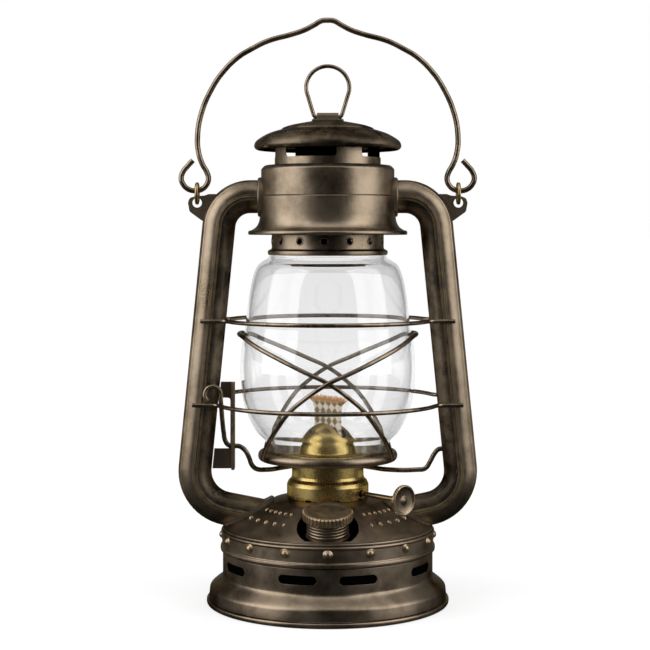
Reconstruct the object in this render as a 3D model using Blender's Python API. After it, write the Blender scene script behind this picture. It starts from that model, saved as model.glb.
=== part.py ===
"""Oil lantern with a riveted tank, side air tubes, a caged glass globe and a lifting hood.

Sizes are in metres. The lantern stands on z = 0 with its axis on x = y = 0, and its front faces -Y.
"""

import math

import bmesh
import bpy
from mathutils import Matrix, Vector

# Sheet, wire and fits
SHEET = 0.0008
TUBE_SHEET = 0.0006
GAP = 0.0003
OVERRUN = 0.004
WELD = 0.000001
SHARP_ANGLE = math.radians(32)
STEPS = 28
SMALL_STEPS = 20
WIRE_SIDES = 6
UP = Vector((0, 0, 1))

# Base skirt and hem
HEM_OVERHANG = 0.0016
HEM_HEIGHT = 0.0025
HEM_DEPTH = 0.0030
HEM_ROUND = 0.0008
SKIRT_RADIUS = 0.0523
SKIRT_HEIGHT = 0.0232
FLARE_DROP = 0.0115
BELLY_DROP = 0.0185
BELLY_RADIUS = 0.0587
HEM_RADIUS = BELLY_RADIUS + HEM_OVERHANG
FLARE_PARTS = 4
SLOT_LENGTH = 0.0186
SLOT_HEIGHT = 0.0042
SLOT_DROP = 0.0054
SLOT_ANGLES = (16.2, 60.5, 119.5, 163.8, 196.2, 240.5, 299.5, 343.8)

# Tank
PAN_FLOOR = 0.012
BAND_HEIGHT = 0.0103
BAND_STEP = 0.0004
BEAD_HEIGHT = 0.0024
BEAD_STEP = 0.0007
RIVET_COUNT = 16
RIVET_RADIUS = 0.0022
RIVET_CROWN_RADIUS = 0.0013
RIVET_HEIGHT = 0.0013
RIVET_DROP = 0.0036
DOME_LIP = 0.0010
DOME_RISE = 0.0149
DOME_INSET = 0.0008
DOME_CROWN_RADIUS = 0.0240
DOME_SHOULDER_RADIUS = 0.0275
DOME_SHOULDER_DROP = 0.0012

# Fuel filler
FILLER_REACH = 0.0385
FILLER_RISE = 0.0026
FILLER_TILT = math.radians(12)
POCKET_RADIUS = 0.0148
POCKET_WALL = 0.0020
NECK_RADIUS = 0.0102
NECK_WALL = 0.0014
NECK_HEIGHT = 0.0099
NECK_THREAD = 0.0006
NECK_RIDGES = 2
GASKET_HEIGHT = 0.0007
CAP_WALL = 0.0016
CAP_SKIRT = 0.0014
CAP_TOP = 0.0014
CAP_DISH = 0.0006
CAP_TEETH = 24
KNURL = 0.0003

# Burner
BODY_RADIUS = 0.0204
BODY_TOP_RADIUS = 0.0179
BODY_HEIGHT = 0.0192
BODY_SHOULDER_RISE = 0.0061
BODY_SHOULDER_HEIGHT = 0.0044
BODY_SHOULDER_SHARES = ((0.00, 1.00), (0.20, 0.70), (0.75, 0.40), (1.00, 0.00))
SOCKET_DEPTH = 0.0055
SOCKET_WALL = 0.0011
SOCKET_FLANGE = 0.0030
BURNER_HOLE = 0.0165
BASE_WALL = 0.0010
BASE_DEPTH = 0.0058
BASE_CLEARANCE = 0.0005
GALLERY_DROP = 0.0030
GALLERY_HOLES = 8
GALLERY_HOLE_RADIUS = 0.0014
GALLERY_HOLE_REACH = 0.0140
WICK_ANGLE = math.radians(43)
WICK_HALF_WIDTH = 0.00935
WICK_HALF_THICKNESS = 0.0012
WICK_TOP = 0.0313
WICK_FLARE = 0.0030
WICK_FLARE_WIDTH = 0.00195
WICK_FLARE_THICKNESS = 0.0006
WICK_BOTTOM_DEPTH = 0.0260
WICK_BODY_BEND = 0.5
WICK_POINTS = 16
WICK_TUBE_TOP = 0.0127
WICK_TUBE_DEPTH = 0.0060
WICK_TUBE_WALL = 0.0005
SHAFT_RISE = 0.0031
SHAFT_OFFSET = 0.0040
SHAFT_RADIUS = 0.0012
SHAFT_LENGTH = 0.0478
SHAFT_CLEARANCE = 0.0007
WHEEL_RADIUS = 0.0024
WHEEL_WIDTH = 0.0016
WHEEL_SPREAD = 0.0045
KNOB_RADIUS = 0.0075
KNOB_THICKNESS = 0.0018
KNOB_RIM = 0.0004
KNOB_RIM_WIDTH = 0.0009
KNOB_TEETH = 24

# Burner cone
CONE_RADIUS = 0.0137
CONE_RISE = 0.0026
CONE_STEP_RADIUS = 0.0172
CONE_FLANGE_RADIUS = 0.0225
CONE_PARTS = 6
WICK_SLOT_HALF_LENGTH = 0.0120
WICK_SLOT_HALF_WIDTH = 0.00275

# Globe plate and globe
PLATE_BORE = 0.0166
PLATE_RADIUS = 0.0348
PLATE_RIM_HEIGHT = 0.0046
PLATE_RIM_WIDTH = 0.0033
PLATE_RIM_DROP = 0.0012
PLATE_RIM_PARTS = 8
VENT_COUNT = 12
VENT_REACH = 0.0246
VENT_LENGTH = 0.0030
VENT_WIDTH = 0.0036
GLASS = 0.0016
GLOBE_RADIUS = 0.0438
GLOBE_HEIGHT = 0.0995
GLOBE_STEPS = 24
GLOBE_SHARES = (
    (0.640, 0.000), (0.668, 0.045), (0.820, 0.125), (0.913, 0.205), (0.973, 0.290),
    (1.000, 0.415), (0.985, 0.540), (0.940, 0.655), (0.905, 0.780), (0.860, 0.885),
    (0.800, 0.950), (0.665, 1.000),
)
CAGE_WIRE = 0.0011
CAGE_CLEARANCE = 0.0023
CAGE_STEP = 0.0026
CAGE_RISE = 0.0605
CAGE_SWEEP = math.radians(151)
CAGE_SHARES = (
    (0.00, 0.960, 1.000), (0.15, 0.966, 0.985), (0.265, 0.978, 0.925), (0.40, 0.988, 0.832),
    (0.505, 0.998, 0.743), (0.60, 1.000, 0.654), (0.695, 0.990, 0.517), (0.745, 0.977, 0.432),
    (0.83, 0.915, 0.263), (0.89, 0.866, 0.165), (0.95, 0.822, 0.075), (1.00, 0.788, 0.000),
)

# Air chamber
COLLAR_RADIUS = 0.0333
COLLAR_STEP = 0.0006
COLLAR_FLANGE_RADIUS = 0.0398
COLLAR_RISE = 0.0101
COLLAR_FLARE_HEIGHT = 0.0099
COLLAR_FLARE_SHARES = (
    (0.00, 1.00), (0.12, 0.76), (0.42, 0.40), (0.90, 0.20), (1.00, 0.10), (0.97, 0.00),
)
COLLAR_LOWER_HEIGHT = 0.0194
COLLAR_UPPER_HEIGHT = 0.0149
COLLAR_ROUND = 0.0016
COLLAR_BORE_CLEARANCE = 0.0005
SPRING_WIDTH = 0.006
SPRING_HEIGHT = 0.010
SPRING_LAND = 0.0012
SPRING_SHEET = 0.0005

# Hood
HOOD_CLEARANCE = 0.0068
WINDOW_RING_RADIUS = COLLAR_RADIUS - HOOD_CLEARANCE
CHIMNEY_SHOULDER = 0.0018
CHIMNEY_TUBE_RADIUS = WINDOW_RING_RADIUS - GAP
CHIMNEY_RADIUS = CHIMNEY_TUBE_RADIUS + CHIMNEY_SHOULDER
CHIMNEY_FLANGE = 0.0020
CHIMNEY_FLANGE_RADIUS = CHIMNEY_RADIUS + CHIMNEY_FLANGE
CHIMNEY_FLANGE_HEIGHT = 0.0025
CHIMNEY_BAND_HEIGHT = 0.0096
CHIMNEY_TUBE_HEIGHT = 0.0273
AIR_HOLE_COUNT = 14
AIR_HOLE_RADIUS = 0.0016
AIR_HOLE_RISE = 0.0045
AIR_HOLE_TURN = -3.5
WINDOW_SILL = 0.0038
WINDOW_HEIGHT = 0.0088
WINDOW_COUNT = 4
WINDOW_ANGLE = 60
WINDOW_TURN = 69
FLUE_RADIUS = 0.0155
FLUE_DROP = 0.0020
CANOPY_RADIUS = 0.0368
CANOPY_LIFT = 0.0076
CANOPY_RISE = 0.0143
CANOPY_SHARES = (
    (0.00, 1.000), (0.26, 1.000), (0.50, 0.880), (0.610, 0.785), (0.630, 0.730), (0.79, 0.600),
    (0.90, 0.455), (0.975, 0.310), (1.00, 0.160), (0.985, 0.055), (0.955, 0.010),
)
STRAP_LENGTH = 0.016
STRAP_DEPTH = 0.008
STRAP_BRIDGE = 0.0108
RING_WIRE = 0.0010
RING_RADIUS = 0.0108
RING_RISE = 0.0146
RING_START = -25
RING_FOOT = 0.00675
RING_CORNER = 0.0016

# Side tubes, ears and handle
TUBE_RADIUS = 0.00875
TUBE_SIDES = 12
TUBE_SHOULDER = 0.05275
TUBE_ELBOW_RADIUS = 0.0155
TUBE_FOOT_SPREAD = 0.0680
TUBE_FOOT_RISE = 0.0125
TUBE_FOOT_RADIUS = 0.019
TUBE_FOOT_SLOPE = math.radians(11)
TUBE_FOOT_REACH = 0.042
FOOT_FLANGE = 0.0016
FOOT_SHEET = 0.0009
EAR_SHEET = 0.0012
EAR_HOLE_RADIUS = 0.0021
EAR_REACH = 0.01255
EAR_DROP = 0.0028
EAR_TIP = 0.0046
EAR_CREST = 0.0036
EAR_NECK = 0.0058
EAR_ROOT = 0.0120
EAR_FALL = 0.0094
LINK_RADIUS = 0.00465
LINK_WIRE = 0.0011
LINK_POINTS = 16
BAIL_WIRE = 0.00135
BAIL_LIFT = 0.0061
BAIL_RISE = 0.0854
BAIL_SHARES = (
    (0.000, 1.000), (0.045, 0.997), (0.105, 0.972), (0.175, 0.944), (0.265, 0.920),
    (0.460, 0.878), (0.585, 0.831), (0.685, 0.784), (0.800, 0.698), (0.885, 0.602),
    (0.965, 0.460), (0.997, 0.320), (0.988, 0.220), (0.958, 0.152), (0.926, 0.108),
    (0.913, 0.068), (0.930, 0.031), (0.966, 0.007), (1.000, 0.000), (1.036, 0.000),
    (1.076, 0.012), (1.108, 0.038), (1.122, 0.072), (1.106, 0.112), (1.068, 0.148),
    (1.032, 0.178),
)

# Guard wires
GUARD_WIRE = 0.00105
GUARD_UPPER_DROP = 0.0615
GUARD_UPPER_SPREAD = 0.063
GUARD_UPPER_DEPTH = 0.047
GUARD_LOWER_DROP = 0.1030
GUARD_LOWER_SPREAD = 0.067
GUARD_LOWER_DEPTH = 0.050
GUARD_BACK_RISE = 0.0032
GUARD_CORNER = 0.004
GUARD_POINTS = 14

# Lift lever and its bracket
LEVER_WIRE = 0.0012
LEVER_PIVOT_RISE = 0.0040
LEVER_DROP = 0.0104
LEVER_CROSS_RISE = 0.0017
LEVER_BOW = 0.0215
LEVER_SHARES = (
    (1.035, 0, 0), (0.980, 0, -0.02), (0.940, 0, -0.25), (0.905, 0, -0.60), (0.860, 0, -0.94),
    (0.790, 0, -1), (0.530, 0.02, -1), (0.390, 0.37, -1), (0.230, 0.81, -1), (0, 1, -1),
    (-0.230, 0.81, -1), (-0.390, 0.37, -1), (-0.550, 0, -1), (-0.630, -0.04, -0.95),
    (-0.668, -0.06, -0.76), (-0.695, -0.08, -0.38), (-0.730, -0.084, -0.04),
    (-0.780, -0.084, 0.145), (-0.833, -0.084, 0.165), (-0.875, -0.084, 0.21),
    (-0.903, -0.095, 0.42), (-0.915, -0.14, 0.80), (-0.924, -0.25, 1.40), (-0.931, -0.345, 2.05),
    (-0.935, -0.39, 2.45),
)
BRACKET_REACH = 0.0480
BRACKET_FLANGE = 0.0016
BRACKET_BACK = 0.0023
BRACKET_FRONT = 0.0045
BRACKET_SHEET = 0.0008
BRACKET_TOP_RISE = 0.0334
BRACKET_BOTTOM_DROP = 0.0100
BRACKET_TAB_TOP = 0.0080
BRACKET_TAB_BOTTOM = 0.0100
LEVER_SLOT_DROP = 0.0021
LEVER_SLOT_RISE = 0.0149
LEVER_SLOT_HALF = 0.0016
LEVER_PLANE = 0.0018
LOOP_RADIUS = 0.0039
LOOP_LEAN = 0.0020

# Heights worked out from the sizes above
SKIRT_BOTTOM = HEM_HEIGHT + GAP
SKIRT_TOP = SKIRT_BOTTOM + SKIRT_HEIGHT
PAN_RADIUS = SKIRT_RADIUS - SHEET - GAP
BAND_BOTTOM = SKIRT_TOP + GAP
BAND_TOP = BAND_BOTTOM + BAND_HEIGHT
BAND_RADIUS = SKIRT_RADIUS + BAND_STEP
DOME_EDGE = BAND_TOP + GAP
DOME_TOP = DOME_EDGE + DOME_RISE
BODY_BOTTOM = DOME_TOP + GAP
BODY_TOP = BODY_BOTTOM + BODY_HEIGHT
WEB_BOTTOM = BODY_TOP + GAP
WEB_TOP = WEB_BOTTOM + SHEET
CONE_BOTTOM = WEB_TOP + GAP
CONE_CENTRE = CONE_BOTTOM + CONE_RISE
GLOBE_BOTTOM = WEB_TOP + GAP
GLOBE_TOP = GLOBE_BOTTOM + GLOBE_HEIGHT
HOOD_BOTTOM = GLOBE_TOP + GAP
COLLAR_BOTTOM = HOOD_BOTTOM + COLLAR_RISE
COLLAR_SEAM = COLLAR_BOTTOM + COLLAR_LOWER_HEIGHT
COLLAR_TOP = COLLAR_SEAM + GAP + COLLAR_UPPER_HEIGHT
CHIMNEY_NECK = HOOD_BOTTOM + CHIMNEY_FLANGE_HEIGHT + CHIMNEY_BAND_HEIGHT
CHIMNEY_TOP = CHIMNEY_NECK + CHIMNEY_SHOULDER + CHIMNEY_TUBE_HEIGHT
WINDOW_BOTTOM = CHIMNEY_TOP + GAP
COLLAR_BORE = WINDOW_RING_RADIUS + COLLAR_BORE_CLEARANCE
CANOPY_BOTTOM = COLLAR_TOP + CANOPY_LIFT
CANOPY_TOP = CANOPY_BOTTOM + CANOPY_RISE
RING_AXIS = CANOPY_TOP + GAP + SHEET + RING_WIRE + GAP
SHAFT_HEIGHT = BODY_BOTTOM + SHAFT_RISE
TUBE_TOP = COLLAR_SEAM - COLLAR_STEP
TUBE_FOOT = DOME_EDGE + TUBE_FOOT_RISE
EAR_HOLE_HEIGHT = TUBE_TOP - EAR_DROP
LINK_SPREAD = TUBE_SHOULDER + EAR_REACH
BAIL_AXIS = EAR_HOLE_HEIGHT + BAIL_LIFT
LEVER_AXIS = WEB_BOTTOM + LEVER_PIVOT_RISE
WICK_DIRECTION = Vector((math.sin(WICK_ANGLE), -math.cos(WICK_ANGLE), 0))
WICK_NORMAL = Vector((math.cos(WICK_ANGLE), math.sin(WICK_ANGLE), 0))


def finish(name, colour, roughness, metallic, transmission=0):
    made = bpy.data.materials.new(name)
    made.use_nodes = True
    shader = made.node_tree.nodes["Principled BSDF"]
    shader.inputs["Base Color"].default_value = (*colour, 1)
    shader.inputs["Roughness"].default_value = roughness
    shader.inputs["Metallic"].default_value = metallic
    shader.inputs["Transmission Weight"].default_value = transmission
    made.diffuse_color = (*colour, 1)
    return made


def piece(name, bm, look, parent=None):
    """One object of the lantern from a bmesh in world coordinates, with its origin at its parent's."""
    mesh = bpy.data.meshes.new(name)
    bm.to_mesh(mesh)
    bm.free()
    mesh.shade_smooth()
    mesh.set_sharp_from_angle(angle=SHARP_ANGLE)
    mesh.materials.append(look)
    obj = bpy.data.objects.new(name, mesh)
    bpy.context.scene.collection.objects.link(obj)
    if parent:
        mesh.transform(placed(parent).inverted())
        obj.parent = parent
    return obj


def placed(obj):
    """An object's place in the world, worked out from its parents."""
    return placed(obj.parent) @ obj.matrix_basis if obj.parent else obj.matrix_basis.copy()


def pivot(name, place, base=None):
    """An empty on a joint's axis, which carries the pieces that move on it."""
    empty = bpy.data.objects.new(name, None)
    empty.location = Vector(place) - (placed(base).translation if base else Vector())
    empty.parent = base
    bpy.context.scene.collection.objects.link(empty)
    return empty


def cutter(name, bm):
    obj = piece(name, bm, None)
    obj.hide_render = True
    obj.display_type = "WIRE"
    return obj


def combine(obj, other, operation):
    step = obj.modifiers.new(operation.title(), "BOOLEAN")
    step.operation = operation
    step.object = other


def offset(outline, distance):
    """The outline of a profile that runs down its outer side, moved inwards by a distance."""
    moved = []
    for i, point in enumerate(outline):
        normals = []
        for a, b in ((i - 1, i), (i, i + 1)):
            if a >= 0 and b < len(outline):
                run = Vector(outline[b]) - Vector(outline[a])
                normals.append(Vector((run.y, -run.x)).normalized())
        normal = sum(normals, Vector((0, 0))).normalized()
        corner = max(normal.dot(normals[0]), 0.5)
        place = Vector(point) + normal * distance / corner
        moved.append((max(place.x, 0), place.y))
    return moved


def shell(outline, wall):
    """A closed profile of sheet metal under an outline that runs down its outer side."""
    return outline + offset(outline, wall)[::-1]


def height_at(outline, radius):
    """The height of a profile where it first reaches a radius."""
    for (r0, z0), (r1, z1) in zip(outline, outline[1:]):
        if r0 <= radius <= r1:
            return z0 + (z1 - z0) * (radius - r0) / (r1 - r0)
    return outline[-1][1]


def turned(profile, steps=STEPS, closed=True):
    """A turned shape about the Z axis. An open profile starts and ends on the axis."""
    bm = bmesh.new()
    points = [bm.verts.new((r, 0, z)) for r, z in profile]
    pairs = list(zip(points, points[1:]))
    if closed:
        pairs.append((points[-1], points[0]))
    edges = [bm.edges.new(pair) for pair in pairs]
    bmesh.ops.spin(
        bm, geom=points + edges, cent=(0, 0, 0), axis=UP, angle=math.tau, steps=steps, use_merge=True
    )
    bmesh.ops.remove_doubles(bm, verts=bm.verts, dist=WELD)
    bmesh.ops.dissolve_degenerate(bm, edges=bm.edges, dist=WELD)
    bmesh.ops.recalc_face_normals(bm, faces=bm.faces)
    return bm


def rod(radius, low, high, steps=SMALL_STEPS):
    """A plain cylinder about the Z axis."""
    return turned([(0, high), (radius, high), (radius, low), (0, low)], steps, closed=False)


def moved(bm, matrix):
    bmesh.ops.transform(bm, matrix=matrix, verts=bm.verts)
    return bm


def along(place, direction, side=UP):
    """The frame at a place whose Z axis points along a direction."""
    z = Vector(direction).normalized()
    x = Vector(side).cross(z)
    if x.length < WELD:
        x = Vector((1, 0, 0))
    x.normalize()
    y = z.cross(x)
    return Matrix.Translation(place) @ Matrix((x, y, z)).transposed().to_4x4()


def prism(outline, low, high, matrix=Matrix(), bm=None):
    """An outline in a frame's XY plane, extruded along its Z axis from low to high."""
    bm = bm or bmesh.new()
    bottom = [bm.verts.new(matrix @ Vector((x, y, low))) for x, y in outline]
    top = [bm.verts.new(matrix @ Vector((x, y, high))) for x, y in outline]
    faces = [bm.faces.new(bottom[::-1]), bm.faces.new(top)]
    for i in range(len(outline)):
        j = (i + 1) % len(outline)
        faces.append(bm.faces.new((bottom[i], bottom[j], top[j], top[i])))
    bmesh.ops.recalc_face_normals(bm, faces=faces)
    return bm


def stadium(half_length, half_width, points=5):
    """A slot's outline with round ends, its length along X."""
    reach = half_length - half_width
    outline = []
    for side in (1, -1):
        for i in range(points):
            turn = math.pi * (i / (points - 1) - 0.5)
            outline.append(
                (side * (reach + half_width * math.cos(turn)), side * half_width * math.sin(turn))
            )
    return outline


def rectangle(half_length, half_width):
    return [
        (-half_length, -half_width), (half_length, -half_width),
        (half_length, half_width), (-half_length, half_width),
    ]


def circle(radius, points):
    turns = [math.tau * i / points for i in range(points)]
    return [(radius * math.cos(t), radius * math.sin(t)) for t in turns]


def arc(centre, radius, start, end, points):
    """Points (x, z) on an arc, with its turns in degrees from +X towards +Z."""
    turns = [math.radians(start + (end - start) * i / (points - 1)) for i in range(points)]
    return [(centre[0] + radius * math.cos(t), centre[1] + radius * math.sin(t)) for t in turns]


def filleted(points, radius, parts):
    """A path whose inner corners are rounded with arcs of one radius, or of one radius each."""
    points = [Vector(p) for p in points]
    radii = radius if isinstance(radius, (list, tuple)) else [radius] * (len(points) - 2)
    path = [points[0]]
    for before, corner, after, bend in zip(points, points[1:], points[2:], radii):
        first = (before - corner).normalized()
        second = (after - corner).normalized()
        half = first.angle(second) / 2
        centre = corner + (first + second).normalized() * bend / math.sin(half)
        start = (corner + first * bend / math.tan(half) - centre).normalized()
        end = (corner + second * bend / math.tan(half) - centre).normalized()
        path += [centre + start.slerp(end, i / parts) * bend for i in range(parts + 1)]
    return path + [points[-1]]


def swept(path, radius, sides=WIRE_SIDES, bore=0, closed=False):
    """A round wire along a path, or a tube where it has a bore."""
    path = [Vector(p) for p in path]
    count = len(path)
    bm = bmesh.new()
    rings = []
    side = None
    for i, point in enumerate(path):
        before = path[i - 1] if i or closed else path[0]
        after = path[(i + 1) % count] if i < count - 1 or closed else path[-1]
        tangent = (after - before).normalized()
        if side is None:
            guide = Vector((0, 1, 0)) if abs(tangent.y) < 0.9 else Vector((1, 0, 0))
            side = tangent.cross(guide).normalized()
        side = (side - tangent * side.dot(tangent)).normalized()
        other = tangent.cross(side)
        ring = []
        for size in (radius, bore) if bore else (radius,):
            turns = [math.tau * (k + 0.5) / sides for k in range(sides)]
            ring.append(
                [bm.verts.new(point + size * (side * math.cos(t) + other * math.sin(t))) for t in turns]
            )
        rings.append(ring)
    pairs = list(zip(rings, rings[1:]))
    if closed:
        pairs.append((rings[-1], rings[0]))
    for first, second in pairs:
        for a, b in zip(first, second):
            for k in range(sides):
                n = (k + 1) % sides
                bm.faces.new((a[k], a[n], b[n], b[k]))
    if not closed:
        for ring in (rings[0], rings[-1]):
            if not bore:
                bm.faces.new(ring[0])
                continue
            for k in range(sides):
                n = (k + 1) % sides
                bm.faces.new((ring[0][k], ring[0][n], ring[1][n], ring[1][k]))
    bmesh.ops.recalc_face_normals(bm, faces=bm.faces)
    return bm


def knurled(bm, radius, teeth):
    """Lifts every other point of a turned rim, so that its edge is knurled."""
    for vert in bm.verts:
        reach = math.hypot(vert.co.x, vert.co.y)
        tooth = round(math.atan2(vert.co.y, vert.co.x) / math.tau * 2 * teeth)
        if reach > radius - WELD and tooth % 2:
            vert.co *= Vector(((reach - KNURL) / reach, (reach - KNURL) / reach, 1))
    return bm


def facing(degrees):
    """The level direction at an angle from the front, towards +X."""
    turn = math.radians(degrees)
    return Vector((math.sin(turn), -math.cos(turn), 0))


def upright(direction):
    """A frame whose X axis points along a level direction and whose Y axis points up."""
    return Matrix((direction, UP, direction.cross(UP))).transposed().to_4x4()


def tube_spread(height):
    """How far from the axis a side tube's middle line lies at a height."""
    share = (TUBE_TOP - height) / (TUBE_TOP - TUBE_FOOT)
    return TUBE_SHOULDER + (TUBE_FOOT_SPREAD - TUBE_SHOULDER) * share


def base_ring(look):
    """The rolled hem that the lantern stands on."""
    inner = HEM_RADIUS - HEM_DEPTH
    outline = [
        (inner, HEM_HEIGHT), (HEM_RADIUS - HEM_ROUND, HEM_HEIGHT),
        (HEM_RADIUS, HEM_HEIGHT - HEM_ROUND), (HEM_RADIUS, HEM_ROUND),
        (HEM_RADIUS - HEM_ROUND, 0), (inner, 0),
    ]
    piece("base_ring", turned(outline), look)


def base_skirt(look):
    flare_top = SKIRT_TOP - FLARE_DROP
    belly = SKIRT_TOP - BELLY_DROP
    outline = [(SKIRT_RADIUS, SKIRT_TOP)]
    for i in range(FLARE_PARTS + 1):
        share = i / FLARE_PARTS
        ease = share * share * (3 - 2 * share)
        radius = SKIRT_RADIUS + (BELLY_RADIUS - SKIRT_RADIUS) * ease
        outline.append((radius, flare_top + (belly - flare_top) * share))
    outline.append((BELLY_RADIUS + HEM_ROUND / 2, SKIRT_BOTTOM))
    skirt = piece("base_skirt", turned(shell(outline, SHEET)), look)
    slots = bmesh.new()
    height = SKIRT_TOP - SLOT_DROP
    for angle in SLOT_ANGLES:
        frame = along(Vector((0, 0, height)), facing(angle))
        prism(
            stadium(SLOT_LENGTH / 2, SLOT_HEIGHT / 2), SKIRT_RADIUS - OVERRUN, SKIRT_RADIUS + OVERRUN,
            frame, slots,
        )
    combine(skirt, cutter("skirt_slots", slots), "DIFFERENCE")


def tank_pan(look):
    inner = PAN_RADIUS - SHEET
    outline = [
        (0, PAN_FLOOR + SHEET), (inner - SHEET, PAN_FLOOR + SHEET), (inner, PAN_FLOOR + 2 * SHEET),
        (inner, BAND_TOP), (PAN_RADIUS, BAND_TOP), (PAN_RADIUS, PAN_FLOOR + 2 * SHEET),
        (PAN_RADIUS - 2 * SHEET, PAN_FLOOR), (0, PAN_FLOOR),
    ]
    piece("tank_pan", turned(outline, closed=False), look)


def tank_band(look):
    """The hoop round the tank's seam, with its bead and the heads of its rivets."""
    inner = PAN_RADIUS + GAP
    outline = [
        (inner, BAND_TOP), (BAND_RADIUS, BAND_TOP), (BAND_RADIUS, BAND_BOTTOM + BEAD_HEIGHT),
        (BAND_RADIUS + BEAD_STEP, BAND_BOTTOM + BEAD_HEIGHT * 2 / 3),
        (BAND_RADIUS + BEAD_STEP, BAND_BOTTOM + BEAD_HEIGHT / 3),
        (BAND_RADIUS, BAND_BOTTOM), (inner, BAND_BOTTOM),
    ]
    band = piece("tank_band", turned(outline), look)
    heads = bmesh.new()
    for i in range(RIVET_COUNT):
        frame = along(Vector((0, 0, BAND_TOP - RIVET_DROP)), facing(360 * i / RIVET_COUNT))
        root = BAND_RADIUS - BAND_STEP
        bmesh.ops.create_cone(
            heads, cap_ends=True, segments=8, radius1=RIVET_RADIUS, radius2=RIVET_CROWN_RADIUS,
            depth=RIVET_HEIGHT + BAND_STEP,
            matrix=frame @ Matrix.Translation((0, 0, root + (RIVET_HEIGHT + BAND_STEP) / 2)),
        )
    combine(band, cutter("rivet_heads", heads), "UNION")


def dome_outline():
    """The outer side of the tank's dome, from its axis down to its rim."""
    rim = BAND_RADIUS - DOME_INSET / 2
    return [
        (0, DOME_TOP), (DOME_CROWN_RADIUS, DOME_TOP),
        (DOME_SHOULDER_RADIUS, DOME_TOP - DOME_SHOULDER_DROP),
        (rim - DOME_LIP, DOME_EDGE + DOME_LIP), (rim, DOME_EDGE + DOME_LIP - DOME_INSET / 4),
        (rim, DOME_EDGE),
    ]


def filler_frame():
    """The frame of the filler, with its origin on the pocket's floor."""
    seat = Vector((0, -FILLER_REACH, DOME_EDGE + FILLER_RISE))
    return Matrix.Translation(seat) @ Matrix.Rotation(FILLER_TILT, 4, "X")


def tank_dome(look):
    """The tank's top: a cone of sheet with a sunk pocket for the filler and a hole for the burner."""
    outline = dome_outline()
    dome = piece("tank_dome", turned(outline + [(0, DOME_EDGE)], closed=False), look)
    frame = filler_frame()
    reach = BAND_RADIUS - DOME_INSET - POCKET_WALL
    cuts = {}
    for name, wall in (("pocket", 0), ("pocket_sheet", SHEET)):
        hole = rod(POCKET_RADIUS + wall, -wall, 2 * POCKET_RADIUS)
        cuts[name] = cutter(name, moved(hole, frame))
        limit = cutter(name + "_limit", rod(reach + wall, 0, DOME_TOP + OVERRUN, STEPS))
        combine(cuts[name], limit, "INTERSECT")
    inside = offset(outline, SHEET)
    low = DOME_EDGE - OVERRUN
    cavity = cutter("dome_cavity", turned(inside + [(inside[-1][0], low), (0, low)], closed=False))
    combine(cavity, cuts["pocket_sheet"], "DIFFERENCE")
    neck = cutter("neck_hole", moved(rod(NECK_RADIUS - NECK_WALL, -OVERRUN, OVERRUN), frame))
    burner = cutter("burner_hole", rod(BURNER_HOLE, DOME_EDGE, DOME_TOP + OVERRUN))
    for cut in (cuts["pocket"], cavity, neck, burner):
        combine(dome, cut, "DIFFERENCE")


def filler_neck(look):
    root = NECK_RADIUS - NECK_THREAD
    outline = []
    pitch = (NECK_HEIGHT - GAP) / NECK_RIDGES
    for i in range(NECK_RIDGES):
        top = NECK_HEIGHT - i * pitch
        outline += [(root, top), (NECK_RADIUS, top - pitch / 3), (NECK_RADIUS, top - pitch * 2 / 3)]
    outline += [(root, GAP), (NECK_RADIUS - NECK_WALL, GAP), (NECK_RADIUS - NECK_WALL, NECK_HEIGHT)]
    piece("filler_neck", moved(turned(outline, SMALL_STEPS), filler_frame()), look)


def filler_cap(cap_look, gasket_look, rise, turn):
    """The cap turns and rises on the neck's axis. Its gasket only rises with it."""
    frame = filler_frame()
    seal = NECK_HEIGHT + GAP
    gasket = rod(NECK_RADIUS, seal, seal + GASKET_HEIGHT)
    piece("cap_gasket", moved(gasket, frame), gasket_look, rise)
    inner = NECK_RADIUS + GAP
    outer = inner + CAP_WALL
    roof = seal + GASKET_HEIGHT + GAP
    top = roof + CAP_TOP
    foot = NECK_HEIGHT - CAP_SKIRT
    outline = [
        (0, top - CAP_DISH), (outer - CAP_WALL, top - CAP_DISH), (outer - CAP_WALL / 2, top),
        (outer - KNURL, top), (outer, top - KNURL), (outer, foot), (inner, foot), (inner, roof),
        (0, roof),
    ]
    cap = knurled(turned(outline, 2 * CAP_TEETH, closed=False), outer, CAP_TEETH)
    piece("filler_cap", moved(cap, frame), cap_look, turn)


def wick_frame():
    """The burner's own frame: X along the wick's width, Y across it."""
    return Matrix((WICK_DIRECTION, WICK_NORMAL, UP)).transposed().to_4x4()


def shaft_frame():
    """The shaft's frame: Z runs along it towards the knob."""
    return along(WICK_NORMAL * SHAFT_OFFSET + UP * SHAFT_HEIGHT, WICK_DIRECTION)


def wick_opening(name, low, high):
    """A cutter through which the wick tube passes with clearance."""
    half_length = WICK_HALF_WIDTH + WICK_TUBE_WALL + 2 * GAP
    half_width = WICK_HALF_THICKNESS + WICK_TUBE_WALL + 2 * GAP
    return cutter(name, prism(stadium(half_length, half_width), low, high, wick_frame()))


def burner_socket(look):
    top = DOME_TOP - SHEET - GAP
    bore = BURNER_HOLE - SOCKET_WALL - BASE_CLEARANCE
    outline = [
        (bore, top), (BURNER_HOLE + SOCKET_FLANGE, top), (BURNER_HOLE + SOCKET_FLANGE, top - SHEET),
        (bore + SOCKET_WALL, top - SHEET), (bore + SOCKET_WALL, top - SOCKET_DEPTH),
        (bore, top - SOCKET_DEPTH),
    ]
    piece("burner_socket", turned(outline, SMALL_STEPS), look)


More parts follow.
